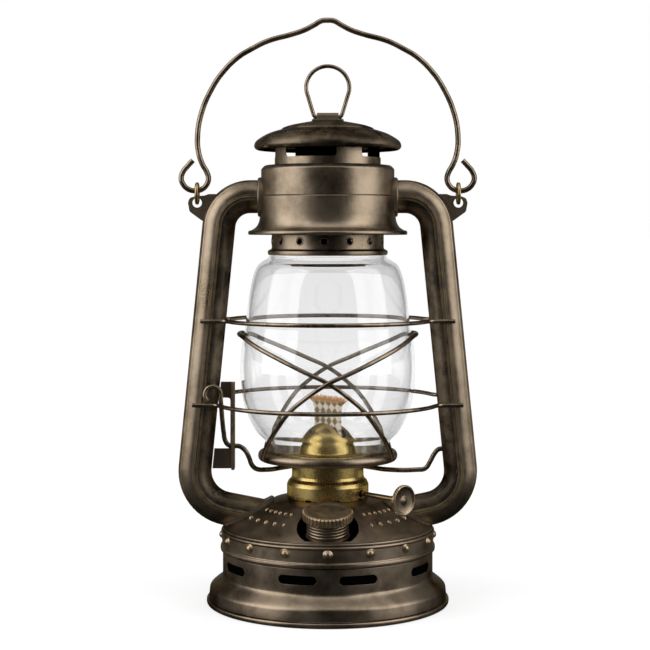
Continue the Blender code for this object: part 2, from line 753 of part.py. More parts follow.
def burner_base(look):
    """The screw base that closes the tank under the burner and holds the wick tube."""
    outer = BURNER_HOLE - SOCKET_WALL - BASE_CLEARANCE - GAP
    top = SHAFT_HEIGHT - WHEEL_RADIUS - 2 * GAP
    outline = [
        (0, top), (outer, top), (outer, top - BASE_DEPTH), (outer - BASE_WALL, top - BASE_DEPTH),
        (outer - BASE_WALL, top - SHEET), (0, top - SHEET),
    ]
    base = piece("burner_base", turned(outline, SMALL_STEPS, closed=False), look)
    combine(base, wick_opening("base_slot", top - BASE_DEPTH, top + OVERRUN), "DIFFERENCE")


def burner_body(look):
    shoulder = BODY_BOTTOM + BODY_SHOULDER_RISE
    slope = BODY_RADIUS - BODY_TOP_RADIUS
    outline = [(BODY_TOP_RADIUS, BODY_TOP)]
    for width, height in BODY_SHOULDER_SHARES:
        outline.append((BODY_TOP_RADIUS + slope * width, shoulder + BODY_SHOULDER_HEIGHT * height))
    outline.append((BODY_RADIUS, BODY_BOTTOM))
    body = piece("burner_body", turned(shell(outline, SHEET), SMALL_STEPS), look)
    hole = rod(SHAFT_RADIUS + SHAFT_CLEARANCE, BODY_RADIUS / 2, BODY_RADIUS + OVERRUN, WIRE_SIDES * 2)
    combine(body, cutter("shaft_hole", moved(hole, shaft_frame())), "DIFFERENCE")


def burner_gallery(look):
    """The disc of air holes inside the burner's body."""
    top = BODY_TOP - GALLERY_DROP
    disc = rod(BODY_TOP_RADIUS - SHEET - GAP, top - SHEET, top)
    gallery = piece("burner_gallery", disc, look)
    holes = bmesh.new()
    for i in range(GALLERY_HOLES):
        place = wick_frame() @ Matrix.Rotation(math.tau * (i + 0.5) / GALLERY_HOLES, 4, "Z")
        place = place @ Matrix.Translation((GALLERY_HOLE_REACH, 0, 0))
        prism(circle(GALLERY_HOLE_RADIUS, 8), top - OVERRUN, top + OVERRUN, place, holes)
    combine(gallery, cutter("gallery_holes", holes), "DIFFERENCE")
    combine(gallery, wick_opening("gallery_slot", top - OVERRUN, top + OVERRUN), "DIFFERENCE")


def wick_tube(look):
    low = SHAFT_HEIGHT - WICK_TUBE_DEPTH
    high = BODY_TOP + WICK_TUBE_TOP
    inner = (WICK_HALF_WIDTH + GAP, WICK_HALF_THICKNESS + GAP)
    outer = (inner[0] + WICK_TUBE_WALL, inner[1] + WICK_TUBE_WALL)
    tube = piece("wick_tube", prism(stadium(*outer), low, high, wick_frame()), look)
    bore = prism(stadium(*inner), low - OVERRUN, high + OVERRUN, wick_frame())
    combine(tube, cutter("wick_tube_bore", bore), "DIFFERENCE")
    windows = bmesh.new()
    for side in (-1, 1):
        place = wick_frame() @ Matrix.Translation((side * WHEEL_SPREAD, SHAFT_OFFSET, SHAFT_HEIGHT))
        reach = WHEEL_RADIUS + 2 * GAP
        prism(rectangle(WHEEL_WIDTH / 2 + 2 * GAP, reach), -reach, reach, place, windows)
    combine(tube, cutter("wheel_windows", windows), "DIFFERENCE")


def wick(look, parent):
    """The flat woven wick, with its burnt end spread."""
    top = BODY_TOP + WICK_TOP
    low = BODY_BOTTOM - WICK_BOTTOM_DEPTH
    wide = (WICK_HALF_WIDTH + WICK_FLARE_WIDTH, WICK_HALF_THICKNESS + WICK_FLARE_THICKNESS)
    narrow = (WICK_HALF_WIDTH, WICK_HALF_THICKNESS)
    levels = (
        (low, narrow, WICK_BODY_BEND), (top - WICK_FLARE, narrow, WICK_BODY_BEND),
        (top - WICK_FLARE / 3, wide, 1), (top, narrow, 1),
    )
    bm = bmesh.new()
    rings = []
    for height, (half_length, half_width), bend in levels:
        ring = []
        for x, y in circle(1, WICK_POINTS):
            across = math.copysign(abs(x) ** bend, x) * half_length
            through = math.copysign(abs(y) ** bend, y) * half_width
            ring.append(bm.verts.new(wick_frame() @ Vector((across, through, height))))
        rings.append(ring)
    for first, second in zip(rings, rings[1:]):
        for i in range(WICK_POINTS):
            j = (i + 1) % WICK_POINTS
            bm.faces.new((first[i], first[j], second[j], second[i]))
    bm.faces.new(rings[0])
    bm.faces.new(rings[-1])
    bmesh.ops.recalc_face_normals(bm, faces=bm.faces)
    piece("wick", bm, look, parent)


def wick_knob(look, parent):
    """The knob, its shaft and the two wheels that feed the wick."""
    frame = shaft_frame()
    inside = math.sqrt((BODY_RADIUS - 2 * SHEET) ** 2 - SHAFT_OFFSET**2)
    shaft = rod(SHAFT_RADIUS, GAP - inside, SHAFT_LENGTH, WIRE_SIDES * 2)
    piece("wick_shaft", moved(shaft, frame), look, parent)
    for name, side in (("inner", -1), ("outer", 1)):
        middle = side * WHEEL_SPREAD
        low, high = middle - WHEEL_WIDTH / 2, middle + WHEEL_WIDTH / 2
        bore = SHAFT_RADIUS + GAP
        ring = [(bore, high), (WHEEL_RADIUS, high), (WHEEL_RADIUS, low), (bore, low)]
        piece("feed_wheel_" + name, moved(turned(ring, WIRE_SIDES * 2), frame), look, parent)
    back = SHAFT_LENGTH + GAP
    face = back + KNOB_THICKNESS - KNOB_RIM
    outline = [
        (0, face), (KNOB_RADIUS - KNOB_RIM_WIDTH, face),
        (KNOB_RADIUS - KNOB_RIM_WIDTH / 2, face + KNOB_RIM), (KNOB_RADIUS, face),
        (KNOB_RADIUS, back), (0, back),
    ]
    knob = knurled(turned(outline, 2 * KNOB_TEETH, closed=False), KNOB_RADIUS, KNOB_TEETH)
    piece("wick_knob", moved(knob, frame), look, parent)


def burner_cone(look, parent):
    """The brass dome over the wick, with its flange and wick slot."""
    outline = arc((0, CONE_CENTRE), CONE_RADIUS, 90, 0, CONE_PARTS)
    outline[0] = (0, CONE_CENTRE + CONE_RADIUS)
    step = CONE_BOTTOM + 2 * SHEET + GAP
    outline += [
        (CONE_STEP_RADIUS - GAP, step), (CONE_STEP_RADIUS, CONE_BOTTOM + 2 * SHEET - GAP),
        (CONE_FLANGE_RADIUS - GAP, CONE_BOTTOM + 2 * SHEET - GAP),
        (CONE_FLANGE_RADIUS, CONE_BOTTOM + SHEET), (CONE_FLANGE_RADIUS, CONE_BOTTOM),
    ]
    cone = turned(shell(outline, SHEET), SMALL_STEPS, closed=False)
    cone = piece("burner_cone", cone, look, parent)
    slot = stadium(WICK_SLOT_HALF_LENGTH, WICK_SLOT_HALF_WIDTH)
    low, high = CONE_CENTRE, CONE_CENTRE + CONE_RADIUS + OVERRUN
    combine(cone, cutter("wick_slot", prism(slot, low, high, wick_frame())), "DIFFERENCE")


def globe_plate(look, parent):
    """The vented plate that carries the globe, with a rolled rim."""
    half_width = PLATE_RIM_WIDTH / 2
    half_height = PLATE_RIM_HEIGHT / 2
    middle = (PLATE_RADIUS - half_width, WEB_BOTTOM - PLATE_RIM_DROP + half_height)
    start = math.pi + math.asin((middle[1] - WEB_TOP) / half_height)
    end = math.asin((middle[1] - WEB_BOTTOM) / half_height) - math.pi
    outline = [(PLATE_BORE, WEB_TOP)]
    for i in range(PLATE_RIM_PARTS + 1):
        turn = start + (end - start) * i / PLATE_RIM_PARTS
        outline.append(
            (middle[0] + half_width * math.cos(turn), middle[1] + half_height * math.sin(turn))
        )
    outline.append((PLATE_BORE, WEB_BOTTOM))
    plate = piece("globe_plate", turned(outline), look, parent)
    vents = bmesh.new()
    for i in range(VENT_COUNT):
        place = Matrix.Rotation(math.tau * i / VENT_COUNT, 4, "Z") @ Matrix.Translation((0, VENT_REACH, 0))
        prism(
            stadium(VENT_WIDTH / 2, VENT_LENGTH / 2, 4), WEB_BOTTOM - OVERRUN, WEB_TOP + OVERRUN,
            place, vents,
        )
    combine(plate, cutter("plate_vents", vents), "DIFFERENCE")


def globe(look, parent):
    outline = [
        (GLOBE_RADIUS * width, GLOBE_BOTTOM + GLOBE_HEIGHT * height)
        for width, height in reversed(GLOBE_SHARES)
    ]
    piece("globe", turned(shell(outline, GLASS), GLOBE_STEPS), look, parent)


def cage_path(side, step):
    """A wire bent round the globe on one side, with its two feet on the plate's rim opposite."""
    foot = WEB_BOTTOM - PLATE_RIM_DROP + PLATE_RIM_HEIGHT / 2
    half = []
    for sweep, reach, height in CAGE_SHARES:
        turn = CAGE_SWEEP * sweep
        radius = (GLOBE_RADIUS + CAGE_CLEARANCE) * reach + step * math.sin(turn) ** 4
        half.append(
            Vector((side * radius * math.cos(turn), -radius * math.sin(turn), foot + CAGE_RISE * height))
        )
    back = [Vector((p.x, -p.y, p.z)) for p in half[:0:-1]]
    return back + half


def cage_wires(look, parent):
    for name, side, step in (("cage_wire_left", -1, 0), ("cage_wire_right", 1, CAGE_STEP)):
        piece(name, swept(cage_path(side, step), CAGE_WIRE), look, parent)


def collar(look):
    """The two shells of the air chamber, which the side tubes run into."""
    lower = COLLAR_RADIUS + COLLAR_STEP
    outline = [(lower, COLLAR_SEAM)]
    for width, height in COLLAR_FLARE_SHARES:
        radius = lower + (COLLAR_FLANGE_RADIUS - lower) * width
        outline.append((radius, COLLAR_BOTTOM + COLLAR_FLARE_HEIGHT * height))
    shells = [piece("air_chamber_lower", turned(shell(outline, SHEET)), look)]
    outline = [
        (COLLAR_BORE, COLLAR_TOP), (COLLAR_RADIUS - COLLAR_ROUND, COLLAR_TOP),
        (COLLAR_RADIUS - COLLAR_ROUND / 4, COLLAR_TOP - COLLAR_ROUND / 2),
        (COLLAR_RADIUS, COLLAR_TOP - COLLAR_ROUND), (COLLAR_RADIUS, COLLAR_SEAM + GAP),
    ]
    shells.append(piece("air_chamber_upper", turned(shell(outline, SHEET)), look))
    reach = COLLAR_FLANGE_RADIUS + OVERRUN
    bore = swept([(-reach, 0, TUBE_TOP), (reach, 0, TUBE_TOP)], TUBE_RADIUS - TUBE_SHEET, TUBE_SIDES)
    ports = cutter("tube_ports", bore)
    for part in shells:
        combine(part, ports, "DIFFERENCE")


def hood_springs(look):
    """Two leaf springs on the air chamber's wall that grip the chimney."""
    wall = math.sqrt((COLLAR_RADIUS - SHEET - GAP) ** 2 - (SPRING_WIDTH / 2) ** 2)
    reach = CHIMNEY_TUBE_RADIUS + GAP
    low = COLLAR_SEAM + 2 * SHEET
    high = low + SPRING_HEIGHT
    middle = (low + high) / 2
    outline = [
        (wall, high), (reach, middle + SPRING_LAND / 2), (reach, middle - SPRING_LAND / 2), (wall, low),
        (wall, low + 2 * SPRING_SHEET), (reach + SPRING_SHEET, middle - SPRING_LAND / 4),
        (reach + SPRING_SHEET, middle + SPRING_LAND / 4), (wall, high - 2 * SPRING_SHEET),
    ]
    for name, angle in (("hood_spring_front", 0), ("hood_spring_back", 180)):
        leaf = prism(outline, -SPRING_WIDTH / 2, SPRING_WIDTH / 2, upright(facing(angle)))
        piece(name, leaf, look)


def chimney(look, parent):
    """The perforated chimney that rests on the globe and runs up inside the air chamber."""
    inner = CHIMNEY_RADIUS - SHEET
    flange_top = HOOD_BOTTOM + CHIMNEY_FLANGE_HEIGHT
    tube_inner = CHIMNEY_TUBE_RADIUS - SHEET
    shoulder_top = CHIMNEY_NECK + CHIMNEY_SHOULDER
    outline = [
        (CHIMNEY_TUBE_RADIUS, CHIMNEY_TOP), (CHIMNEY_TUBE_RADIUS, shoulder_top),
        (CHIMNEY_RADIUS, CHIMNEY_NECK), (CHIMNEY_RADIUS, flange_top),
        (CHIMNEY_FLANGE_RADIUS - GAP, flange_top), (CHIMNEY_FLANGE_RADIUS, flange_top - GAP),
        (CHIMNEY_FLANGE_RADIUS, HOOD_BOTTOM), (inner, HOOD_BOTTOM),
        (inner, CHIMNEY_NECK - GAP), (tube_inner, shoulder_top - GAP), (tube_inner, CHIMNEY_TOP),
    ]
    tube = piece("chimney", turned(outline), look, parent)
    holes = bmesh.new()
    for i in range(AIR_HOLE_COUNT):
        place = Vector((0, 0, flange_top + AIR_HOLE_RISE))
        frame = along(place, facing(360 * i / AIR_HOLE_COUNT + AIR_HOLE_TURN))
        prism(
            circle(AIR_HOLE_RADIUS, WIRE_SIDES), CHIMNEY_RADIUS - OVERRUN, CHIMNEY_RADIUS + OVERRUN, frame, holes
        )
    combine(tube, cutter("air_holes", holes), "DIFFERENCE")


def canopy_outline():
    return [
        (CANOPY_RADIUS * width, CANOPY_BOTTOM + CANOPY_RISE * height)
        for width, height in CANOPY_SHARES
    ]


def window_ring(look, parent):
    inner = WINDOW_RING_RADIUS - SHEET
    top = height_at(offset(canopy_outline(), SHEET), WINDOW_RING_RADIUS) - GAP
    outline = [
        (inner, top), (WINDOW_RING_RADIUS, top), (WINDOW_RING_RADIUS, WINDOW_BOTTOM),
        (inner, WINDOW_BOTTOM),
    ]
    ring = piece("window_ring", turned(outline), look, parent)
    windows = bmesh.new()
    half_length = WINDOW_RING_RADIUS * math.sin(math.radians(WINDOW_ANGLE / 2))
    middle = COLLAR_TOP + WINDOW_SILL + WINDOW_HEIGHT / 2
    for i in range(WINDOW_COUNT):
        frame = along(Vector((0, 0, middle)), facing(WINDOW_TURN + 360 * i / WINDOW_COUNT))
        prism(
            rectangle(half_length, WINDOW_HEIGHT / 2), FLUE_RADIUS, WINDOW_RING_RADIUS + OVERRUN,
            frame, windows,
        )
    combine(ring, cutter("window_cuts", windows), "DIFFERENCE")


def flue(look, parent):
    """The inner tube under the canopy that leads the hot gas out."""
    inner = FLUE_RADIUS - TUBE_SHEET
    top = height_at(offset(canopy_outline(), SHEET), FLUE_RADIUS) - GAP
    low = CHIMNEY_TOP - FLUE_DROP
    outline = [(inner, top), (FLUE_RADIUS, top), (FLUE_RADIUS, low), (inner, low)]
    piece("flue", turned(outline, SMALL_STEPS), look, parent)


def canopy(look, parent):
    outline = canopy_outline()
    under = offset(outline, SHEET)[::-1]
    piece("canopy", turned(outline + under, closed=False), look, parent)


def ring_strap(look, parent):
    """The clip on the canopy that holds the finger ring."""
    low = CANOPY_TOP + GAP
    plate = prism(rectangle(STRAP_LENGTH / 2, STRAP_DEPTH / 2), low, low + SHEET)
    strap = piece("ring_strap", plate, look, parent)
    half = RING_WIRE + GAP + SHEET
    top = RING_AXIS + half
    outline = [
        (-half - SHEET, low + SHEET / 2), (half + SHEET, low + SHEET / 2), (half, RING_AXIS),
        (half / 2, top), (-half / 2, top), (-half, RING_AXIS),
    ]
    lengthways = Matrix(((0, 0, 1, 0), (1, 0, 0, 0), (0, 1, 0, 0), (0, 0, 0, 1)))
    bridge = prism(outline, -STRAP_BRIDGE / 2, STRAP_BRIDGE / 2, lengthways)
    combine(strap, cutter("strap_bridge", bridge), "UNION")
    bore = rod(RING_WIRE + GAP, -STRAP_LENGTH, STRAP_LENGTH, WIRE_SIDES * 2)
    across = along(Vector((0, 0, RING_AXIS)), Vector((1, 0, 0)))
    combine(strap, cutter("strap_bore", moved(bore, across)), "DIFFERENCE")


def lift_ring(look, parent):
    centre = (0, RING_AXIS + RING_RISE)
    loop = [Vector((x, 0, z)) for x, z in arc(centre, RING_RADIUS, RING_START, 180 - RING_START, 13)]
    foot = Vector((RING_FOOT, 0, RING_AXIS))
    right = filleted([Vector((0, 0, RING_AXIS)), foot, loop[0]], RING_CORNER, 3)[:-1]
    left = [Vector((-p.x, 0, p.z)) for p in right[:0:-1]]
    piece("lift_ring", swept(right + loop + left, RING_WIRE, closed=True), look, parent)


def tube_path(side):
    """The middle line of a side tube, from the air chamber to the tank."""
    end = TUBE_FOOT_SPREAD - TUBE_FOOT_REACH
    points = [
        (COLLAR_RADIUS - OVERRUN, TUBE_TOP), (TUBE_SHOULDER, TUBE_TOP),
        (TUBE_FOOT_SPREAD, TUBE_FOOT),
        (end, TUBE_FOOT - TUBE_FOOT_REACH * math.tan(TUBE_FOOT_SLOPE)),
    ]
    path = filleted([(side * x, 0, z) for x, z in points], (TUBE_ELBOW_RADIUS, TUBE_FOOT_RADIUS), 5)
    return path


def dome_clearance():
    """A solid over the tank's dome and band, one gap larger."""
    outside = offset(dome_outline(), -GAP)
    low = BAND_BOTTOM
    edge = BAND_RADIUS + BEAD_STEP + GAP
    return turned(outside[:-1] + [(edge, outside[-2][1]), (edge, low), (0, low)], closed=False)


def side_tubes(look):
    tank = cutter("tank_clearance", dome_clearance())
    radius = COLLAR_RADIUS + COLLAR_STEP + GAP
    chamber = cutter("chamber_clearance", rod(radius, COLLAR_BOTTOM, COLLAR_TOP, STEPS))
    cone = dome_outline()[2:4]
    under = offset(cone, -GAP)
    over = offset(cone, -GAP - FOOT_SHEET)
    for name, side in (("left", -1), ("right", 1)):
        path = tube_path(side)
        tube = swept(path, TUBE_RADIUS, TUBE_SIDES, TUBE_RADIUS - TUBE_SHEET)
        tube = piece("side_tube_" + name, tube, look)
        combine(tube, tank, "DIFFERENCE")
        combine(tube, chamber, "DIFFERENCE")
        if side > 0:
            end = tube_spread(LEVER_AXIS)
            hole = rod(LEVER_WIRE + 2 * GAP, end - TUBE_RADIUS - OVERRUN, end, WIRE_SIDES * 2)
            across = along(Vector((0, 0, LEVER_AXIS)), Vector((1, 0, 0)))
            combine(tube, cutter("lever_hole", moved(hole, across)), "DIFFERENCE")
        inner = TUBE_RADIUS + GAP
        flange = swept(path[-2:], inner + FOOT_FLANGE, TUBE_SIDES, inner)
        flange = piece("tube_foot_" + name, flange, look)
        seat = cutter("foot_seat_" + name, turned(over + under[::-1]))
        combine(flange, seat, "INTERSECT")


def tube_clearance(name, side):
    """A solid round a side tube, one gap larger."""
    return cutter(name, swept(tube_path(side), TUBE_RADIUS + GAP, TUBE_SIDES))


def ears(look):
    """The plates on the upper elbows that the links hang in."""
    outline = [
        (-EAR_ROOT, EAR_CREST + SHEET), (-EAR_NECK, EAR_CREST + SHEET), (-EAR_CREST, EAR_CREST),
        (SHEET, EAR_CREST - GAP), (EAR_TIP - SHEET, EAR_TIP / 2), (EAR_TIP, 0),
        (EAR_TIP - SHEET, -EAR_TIP), (-EAR_CREST + SHEET, -EAR_FALL), (-EAR_ROOT, -EAR_FALL),
    ]
    for name, side in (("left", -1), ("right", 1)):
        place = Matrix.Translation((side * LINK_SPREAD, 0, EAR_HOLE_HEIGHT))
        frame = place @ Matrix.Diagonal((side, 1, 1, 1)) @ Matrix.Rotation(math.pi / 2, 4, "X")
        ear = piece("ear_" + name, prism(outline, -EAR_SHEET / 2, EAR_SHEET / 2, frame), look)
        hole = prism(circle(EAR_HOLE_RADIUS, 12), -OVERRUN, OVERRUN, frame)
        combine(ear, cutter("ear_hole_" + name, hole), "DIFFERENCE")
        combine(ear, tube_clearance("ear_seat_" + name, side), "DIFFERENCE")


def links(look, parent):
    centre = EAR_HOLE_HEIGHT + LINK_RADIUS
    for name, side in (("link_left", -1), ("link_right", 1)):
        ring = [
            Vector((side * LINK_SPREAD, y, centre + z)) for y, z in circle(LINK_RADIUS, LINK_POINTS)
        ]
        piece(name, swept(ring, LINK_WIRE, closed=True), look, parent)


def bail(look, parent):
    half = [
        Vector((LINK_SPREAD * across, 0, BAIL_AXIS + BAIL_RISE * up)) for across, up in BAIL_SHARES
    ]
    left = [Vector((-p.x, 0, p.z)) for p in half[:0:-1]]
    piece("bail", swept(left + half, BAIL_WIRE), look, parent)


def guard_path(height, spread, depth, side):
    """A guard wire that hugs both tubes and bows out between them."""
    seat = TUBE_RADIUS + GAP + GUARD_WIRE
    turn_in = tube_spread(height) - TUBE_RADIUS
    bow = depth - seat
    radius = (bow * bow + turn_in * turn_in) / (2 * bow)
    centre = depth - radius
    start = math.degrees(math.atan2(seat - centre, turn_in))
    curve = arc((0, centre), radius, start, 180 - start, GUARD_POINTS)
    right = filleted([(spread, seat, 0), (turn_in, seat, 0), (*curve[1], 0)], GUARD_CORNER, 3)[:-1]
    left = [Vector((-p.x, p.y, 0)) for p in reversed(right)]
    path = right + [Vector((x, y, 0)) for x, y in curve[1:-1]] + left
    return [Vector((p.x, side * p.y, height)) for p in path]


def guards(look):
    """The four wires that guard the globe."""
    upper = TUBE_TOP - GUARD_UPPER_DROP
    lower = TUBE_TOP - GUARD_LOWER_DROP
    for name, height, spread, depth, side in (
        ("guard_upper_front", upper, GUARD_UPPER_SPREAD, GUARD_UPPER_DEPTH, -1),
        ("guard_upper_back", upper, GUARD_UPPER_SPREAD, GUARD_UPPER_DEPTH, 1),
        ("guard_lower_front", lower, GUARD_LOWER_SPREAD, GUARD_LOWER_DEPTH, -1),
        ("guard_lower_back", lower + GUARD_BACK_RISE, GUARD_LOWER_SPREAD, GUARD_LOWER_DEPTH, 1),
    ):
        piece(name, swept(guard_path(height, spread, depth, side), GUARD_WIRE), look)


def lever_path():
    """The lift lever, from its pivot in the right tube to the finger curl in front of the left one."""
    reach = tube_spread(LEVER_AXIS) - TUBE_RADIUS
    path = [
        Vector((reach * x, LEVER_BOW * y, LEVER_AXIS + LEVER_DROP * z)) for x, y, z in LEVER_SHARES
    ]
    last = path[-1]
    curl = arc((last.x - LOOP_RADIUS, last.z + LOOP_RADIUS * 2 / 3), LOOP_RADIUS, 0, 235, 9)
    for i, (x, z) in enumerate(curl):
        path.append(Vector((x, last.y - LOOP_LEAN * (i + 1) / len(curl), z)))
    return path


def lever(look, parent):
    piece("lift_lever", swept(lever_path(), LEVER_WIRE), look, parent)


def lever_bracket(look):
    """The slotted bracket on the left tube in which the lever slides up."""
    top = LEVER_AXIS + BRACKET_TOP_RISE
    low = LEVER_AXIS - BRACKET_BOTTOM_DROP
    inner = -BRACKET_REACH + BRACKET_FLANGE
    strip = -BRACKET_REACH - SHEET
    root = -tube_spread(LEVER_AXIS) + OVERRUN
    outline = [
        (inner, top), (root, top), (root, top - BRACKET_TAB_TOP), (strip, top - BRACKET_TAB_TOP),
        (strip, low + BRACKET_TAB_BOTTOM), (root, low + BRACKET_TAB_BOTTOM), (root, low), (inner, low),
    ]
    frame = Matrix.Rotation(math.pi / 2, 4, "X")
    back = -BRACKET_BACK
    bracket = piece("lever_bracket", prism(outline, back, back + BRACKET_SHEET, frame), look)
    flange = [(inner, top), (-BRACKET_REACH, top), (-BRACKET_REACH, low), (inner, low)]
    flange = cutter("bracket_flange", prism(flange, back, BRACKET_FRONT, frame))
    combine(bracket, flange, "UNION")
    cross = LEVER_AXIS + LEVER_CROSS_RISE
    slot = [
        (inner + OVERRUN, cross + LEVER_SLOT_RISE), (strip - OVERRUN, cross + LEVER_SLOT_RISE),
        (strip - OVERRUN, cross - LEVER_SLOT_DROP), (inner + OVERRUN, cross - LEVER_SLOT_DROP),
    ]
    slot = prism(slot, LEVER_PLANE - LEVER_SLOT_HALF, LEVER_PLANE + LEVER_SLOT_HALF, frame)
    combine(bracket, cutter("lever_slot", slot), "DIFFERENCE")
    combine(bracket, tube_clearance("bracket_seat", -1), "DIFFERENCE")


def build():
    for obj in list(bpy.data.objects):
        bpy.data.objects.remove(obj)
    bronze = finish("bronze", (0.058, 0.043, 0.034), 0.42, 1)
    wire = finish("bronze_wire", (0.075, 0.052, 0.036), 0.36, 1)
    brass = finish("brass", (0.42, 0.28, 0.10), 0.3, 1)
    rubber = finish("rubber", (0.02, 0.02, 0.02), 0.7, 0)
    glass = finish("glass", (0.95, 0.97, 0.97), 0.03, 0, 1)
    cotton = finish("cotton", (0.72, 0.62, 0.45), 0.9, 0)

    carrier = pivot("globe_carrier", (0, 0, WEB_BOTTOM))
    hood = pivot("hood", (0, 0, HOOD_BOTTOM), carrier)
    ring = pivot("ring_pivot", (0, 0, RING_AXIS), hood)
    lever_pivot = pivot("lever_pivot", (tube_spread(LEVER_AXIS) - TUBE_RADIUS, 0, LEVER_AXIS))
    link_pivot = pivot("link_pivot", (0, 0, EAR_HOLE_HEIGHT))
    bail_pivot = pivot("bail_pivot", (0, 0, BAIL_AXIS), link_pivot)
    knob_pivot = pivot("knob_pivot", shaft_frame().translation)
    wick_slide = pivot("wick_slide", (0, 0, BODY_BOTTOM))
    cap_rise = pivot("cap_rise", filler_frame().translation)
    cap_turn = pivot("cap_turn", filler_frame().translation, cap_rise)

    base_ring(bronze)
    base_skirt(bronze)
    tank_pan(bronze)
    tank_band(bronze)
    tank_dome(bronze)
    filler_neck(bronze)
    filler_cap(bronze, rubber, cap_rise, cap_turn)
    burner_socket(brass)
    burner_base(brass)
    burner_body(brass)
    burner_gallery(brass)
    wick_tube(brass)
    wick(cotton, wick_slide)
    wick_knob(brass, knob_pivot)
    burner_cone(brass, carrier)
    globe_plate(bronze, carrier)
    globe(glass, carrier)
    cage_wires(wire, carrier)
    collar(bronze)
    hood_springs(bronze)
    chimney(bronze, hood)
    window_ring(bronze, hood)
    flue(bronze, hood)
    canopy(bronze, hood)
    ring_strap(bronze, hood)
    lift_ring(wire, ring)
    side_tubes(bronze)
    ears(bronze)
    links(brass, link_pivot)
    bail(wire, bail_pivot)
    guards(wire)
    lever(wire, lever_pivot)
    lever_bracket(bronze)


build()
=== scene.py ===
"""The oil lantern, dressed: an add-on, run as a script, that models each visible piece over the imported
frame and gives it the finish of the real thing.

Profiles, outlines and paths are in millimetres. The lantern stands on z = 0 and its front faces -Y.
"""

import math

import bpy
from mathutils import Matrix, Vector


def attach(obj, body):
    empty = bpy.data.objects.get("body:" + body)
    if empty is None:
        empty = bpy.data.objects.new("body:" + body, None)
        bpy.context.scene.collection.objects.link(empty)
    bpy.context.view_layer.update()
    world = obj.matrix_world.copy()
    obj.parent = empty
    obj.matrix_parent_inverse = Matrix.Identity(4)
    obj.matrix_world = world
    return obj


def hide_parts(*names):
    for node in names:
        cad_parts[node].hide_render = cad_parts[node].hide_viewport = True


bl_info = {
    "name": "Oil Lantern",
    "version": (1, 0, 0),
    "blender": (4, 5, 0),
    "location": "3D View > Sidebar > Lantern",
    "description": "Models a caged-globe oil lantern piece by piece over its packed frame",
    "category": "Add Mesh",
}

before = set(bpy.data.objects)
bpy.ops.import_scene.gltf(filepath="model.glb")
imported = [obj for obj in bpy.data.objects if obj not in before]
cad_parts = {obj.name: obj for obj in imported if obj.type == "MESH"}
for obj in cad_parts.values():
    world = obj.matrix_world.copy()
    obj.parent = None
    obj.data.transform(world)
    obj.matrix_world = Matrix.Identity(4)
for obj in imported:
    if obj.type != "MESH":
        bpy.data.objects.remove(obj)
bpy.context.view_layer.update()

MM = 0.001
WELD = 0.000002
TURN_STEPS = 128
UP = Vector((0, 0, 1))
OUT = Vector((1, 0, 0))


# Colours


def linear(code):
    """An sRGB hex colour as linear values with full alpha."""
    parts = [int(code[i : i + 2], 16) / 255 for i in (1, 3, 5)]
    return [p / 12.92 if p <= 0.04045 else ((p + 0.055) / 1.055) ** 2.4 for p in parts] + [1.0]


# Shapes, made with the tools a modeller uses by hand


def deselect():
    if bpy.context.object and bpy.context.object.mode != "OBJECT":
        bpy.ops.object.mode_set(mode="OBJECT")
    bpy.ops.object.select_all(action="DESELECT")


def pick(piece):
    deselect()
    piece.select_set(True)
    bpy.context.view_layer.objects.active = piece


def settle(name):
    """Leaves edit mode, names the piece being worked on and puts its place into its mesh."""
    if bpy.context.object.mode != "OBJECT":
        bpy.ops.object.mode_set(mode="OBJECT")
    piece = bpy.context.object
    piece.name = piece.data.name = name
    pick(piece)
    bpy.ops.object.transform_apply(location=True, rotation=True, scale=True)
    return piece


def place(piece, matrix):
    """Moves a piece by a matrix and puts its new place into its mesh."""
    piece.matrix_world = matrix
    return settle_as(piece)


def settle_as(piece):
    pick(piece)
    bpy.ops.object.transform_apply(location=True, rotation=True, scale=True)
    return piece


def weld():
    """Merges doubles and turns every face outwards, in edit mode."""
    bpy.ops.mesh.select_all(action="SELECT")
    bpy.ops.mesh.remove_doubles(threshold=WELD)
    bpy.ops.mesh.normals_make_consistent(inside=False)


def trace(points):
    """Draws a chain of edges through points by extruding one vertex, and stays in edit mode."""
    points = [Vector(p) * MM for p in points]
    deselect()
    bpy.ops.mesh.primitive_plane_add(size=MM, location=points[0])
    bpy.ops.object.mode_set(mode="EDIT")
    bpy.ops.mesh.select_all(action="SELECT")
    bpy.ops.mesh.merge(type="CENTER")
    for start, end in zip(points, points[1:]):
        bpy.ops.mesh.extrude_region_move(TRANSFORM_OT_translate={"value": end - start})


def lathe(name, profile, steps=TURN_STEPS):
    """Spins a profile of (radius, height) about the Z axis."""
    trace([(r, 0, z) for r, z in profile])
    bpy.ops.mesh.select_all(action="SELECT")
    bpy.ops.mesh.spin(steps=steps, angle=math.tau, center=(0, 0, 0), axis=UP)
    weld()
    return settle(name)


def plate(name, outline, low, high, matrix=Matrix()):
    """A flat plate of an outline in a frame's XY plane, from low to high along its Z axis."""
    trace([(x, y, low) for x, y in [*outline, outline[0]]])
    bpy.ops.mesh.select_all(action="SELECT")
    bpy.ops.mesh.remove_doubles(threshold=WELD)
    bpy.ops.mesh.edge_face_add()
    bpy.ops.mesh.extrude_region_move(TRANSFORM_OT_translate={"value": (0, 0, (high - low) * MM)})
    weld()
    return place(settle(name), matrix)


